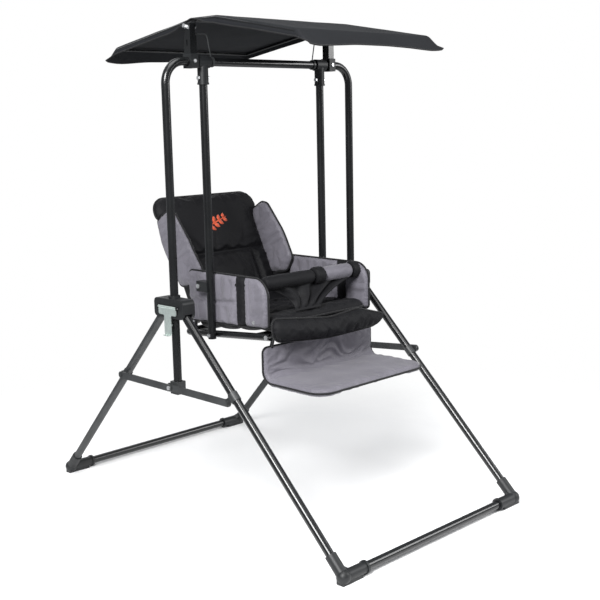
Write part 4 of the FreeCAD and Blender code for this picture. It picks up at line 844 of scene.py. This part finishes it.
def make_footrest():
    low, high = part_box("footrest_pad")
    half = high.x + 0.005
    thick = 0.014
    rear = high.y - thick / 2
    plate = low.z + thick / 2
    top = high.z - 0.002
    drop = top - plate - FOOT_BEND
    quarter = math.pi / 2 * FOOT_BEND
    reach = drop + quarter + (rear - FOOT_BEND - low.y) + 0.002

    def place(x, y, height):
        """y runs down the curtain, round the bend and out along the plate."""
        if y < drop:
            return Vector((x, rear - height, top - y))
        if y < drop + quarter:
            angle = (y - drop) / FOOT_BEND
            out = FOOT_BEND - height
            return Vector((x, rear - FOOT_BEND + out * math.cos(angle),
                           plate + FOOT_BEND - out * math.sin(angle)))
        return Vector((x, rear - FOOT_BEND - (y - drop - quarter), plate + height))

    def folds(x, y):
        """Slack folds that lie across the curtain and run out along the plate."""
        slack = math.exp(-((y - drop * 0.9) / 0.045) ** 2) * (1 - (x / half) ** 4)
        wander = noise.noise(Vector((x * 9, y * 9, 3.0)))
        spot = Vector((x * 10 + 2 * wander, y * 40 + 3 * wander, 7.0))
        crest = 1 - 2 * abs(noise.noise(spot))
        return 0.007 * slack * crest

    corners = [(-half, 0.0, 0.015), (half, 0.0, 0.015), (half, reach, 0.05), (-half, reach, 0.05)]
    pillow("foot_pad", corners, place, thick + 0.002, "grey_fabric", edge=0.012, gather=0.0012, crumple=0.002,
           folds=folds, body="footrest", stands_for=["footrest_pad"], cap=0.0025)


# ---------------------------------------------------------------- canopy

VALANCE_SAG = 0.014  # how far a valance's edge rises between its corners
VALANCE_PULL = 0.018  # and how far it draws in
ROOF_SAG = 0.010
RIM_FROM = 0.93  # share of the half width where the side edge begins to turn down
RIM_DROP = 0.02


def make_canopy():
    """One sheet over the rods, with spread front and rear valances that sag between the corners."""
    low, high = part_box("canopy_cloth")
    rods_low, rods_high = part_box("canopy_cross_rods")
    half = high.x
    fold = rods_low.z + 0.012
    hinge = Vector(JOINTS["canopy_tilt"]["pos_m"])
    line = [Vector((low.y, low.z)), Vector((rods_low.y - 0.004, fold)), Vector((hinge.y - 0.087, high.z)),
            Vector((hinge.y + 0.004, high.z)), Vector((rods_high.y + 0.004, fold)), Vector((high.y, low.z))]
    rows = []
    for index in range(len(line) - 1):
        count = 8 if index in (0, 4) else 22
        for step in range(count):
            rows.append((line[index].lerp(line[index + 1], step / count), index, step / count))
    rows.append((line[-1], 4, 1.0))
    wide = 56
    points = []
    for spot, part, share in rows:
        for column in range(wide + 1):
            across = 2 * column / wide - 1
            y, z = spot
            x = across * half
            if part in (0, 4):
                down = 1 - share if part == 0 else share
                corner = max(0.0, (abs(across) - 0.72) / 0.28) ** 2
                pull = VALANCE_PULL * (1 - abs(across) ** 3) + 0.004 * corner
                z += down * (VALANCE_SAG * (1 - across ** 2) + 0.013 * corner)
                y += (1 if part == 0 else -1) * down * pull
            else:
                z -= ROOF_SAG * math.sin(math.pi * share) * max(0.0, 1 - (across / 0.9) ** 4)
            rim = max(0.0, (abs(across) - RIM_FROM) / 0.07)
            x -= math.copysign(rim * half * 0.05, across)
            # The rim turns down less above the sliders and wing bolts, so that it clears them.
            notch = 1 - 0.85 * math.exp(-((y - hinge.y) / 0.05) ** 2)
            z -= RIM_DROP * rim * notch * (1 if part not in (0, 4) else 1 - down)
            z += 0.0012 * noise.noise(Vector((x * 14, y * 14, 0)))
            points.append((x, y, min(z, high.z)))
    cloth = new_mesh("canopy_sheet", points, grid_faces(len(rows) - 1, wide), "canopy_fabric")
    thicken(cloth, 0.0016)
    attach(cloth, "canopy")
    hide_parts("canopy_cloth")
    edge = [points[column] for column in range(wide + 1)]
    edge += [points[row * (wide + 1) + wide] for row in range(1, len(rows))]
    edge += [points[(len(rows) - 1) * (wide + 1) + column] for column in reversed(range(wide))]
    edge += [points[row * (wide + 1)] for row in reversed(range(1, len(rows) - 1))]
    make_piping("canopy_hem", edge, "canopy", 0.0018)


make_camera()
make_world()
make_floor()
make_lamp("key", (-2.9, -1.6, 2.6), 1.3, 190)
make_lamp("fill", (2.6, -2.6, 2.0), 1.6, 60)
make_lamp("rim", (0.8, 3.0, 2.8), 3.0, 35)
make_lamp("top", (-0.6, -1.2, 4.6), 3.0, 105)
MATERIALS = make_materials()
dress_nodes()
make_backrest()
make_wings()
make_seat()
make_seat_flap()
make_liner()
make_gussets()
make_side_walls()
make_guard_pad()
make_crotch_panel()
make_footrest()
make_canopy()
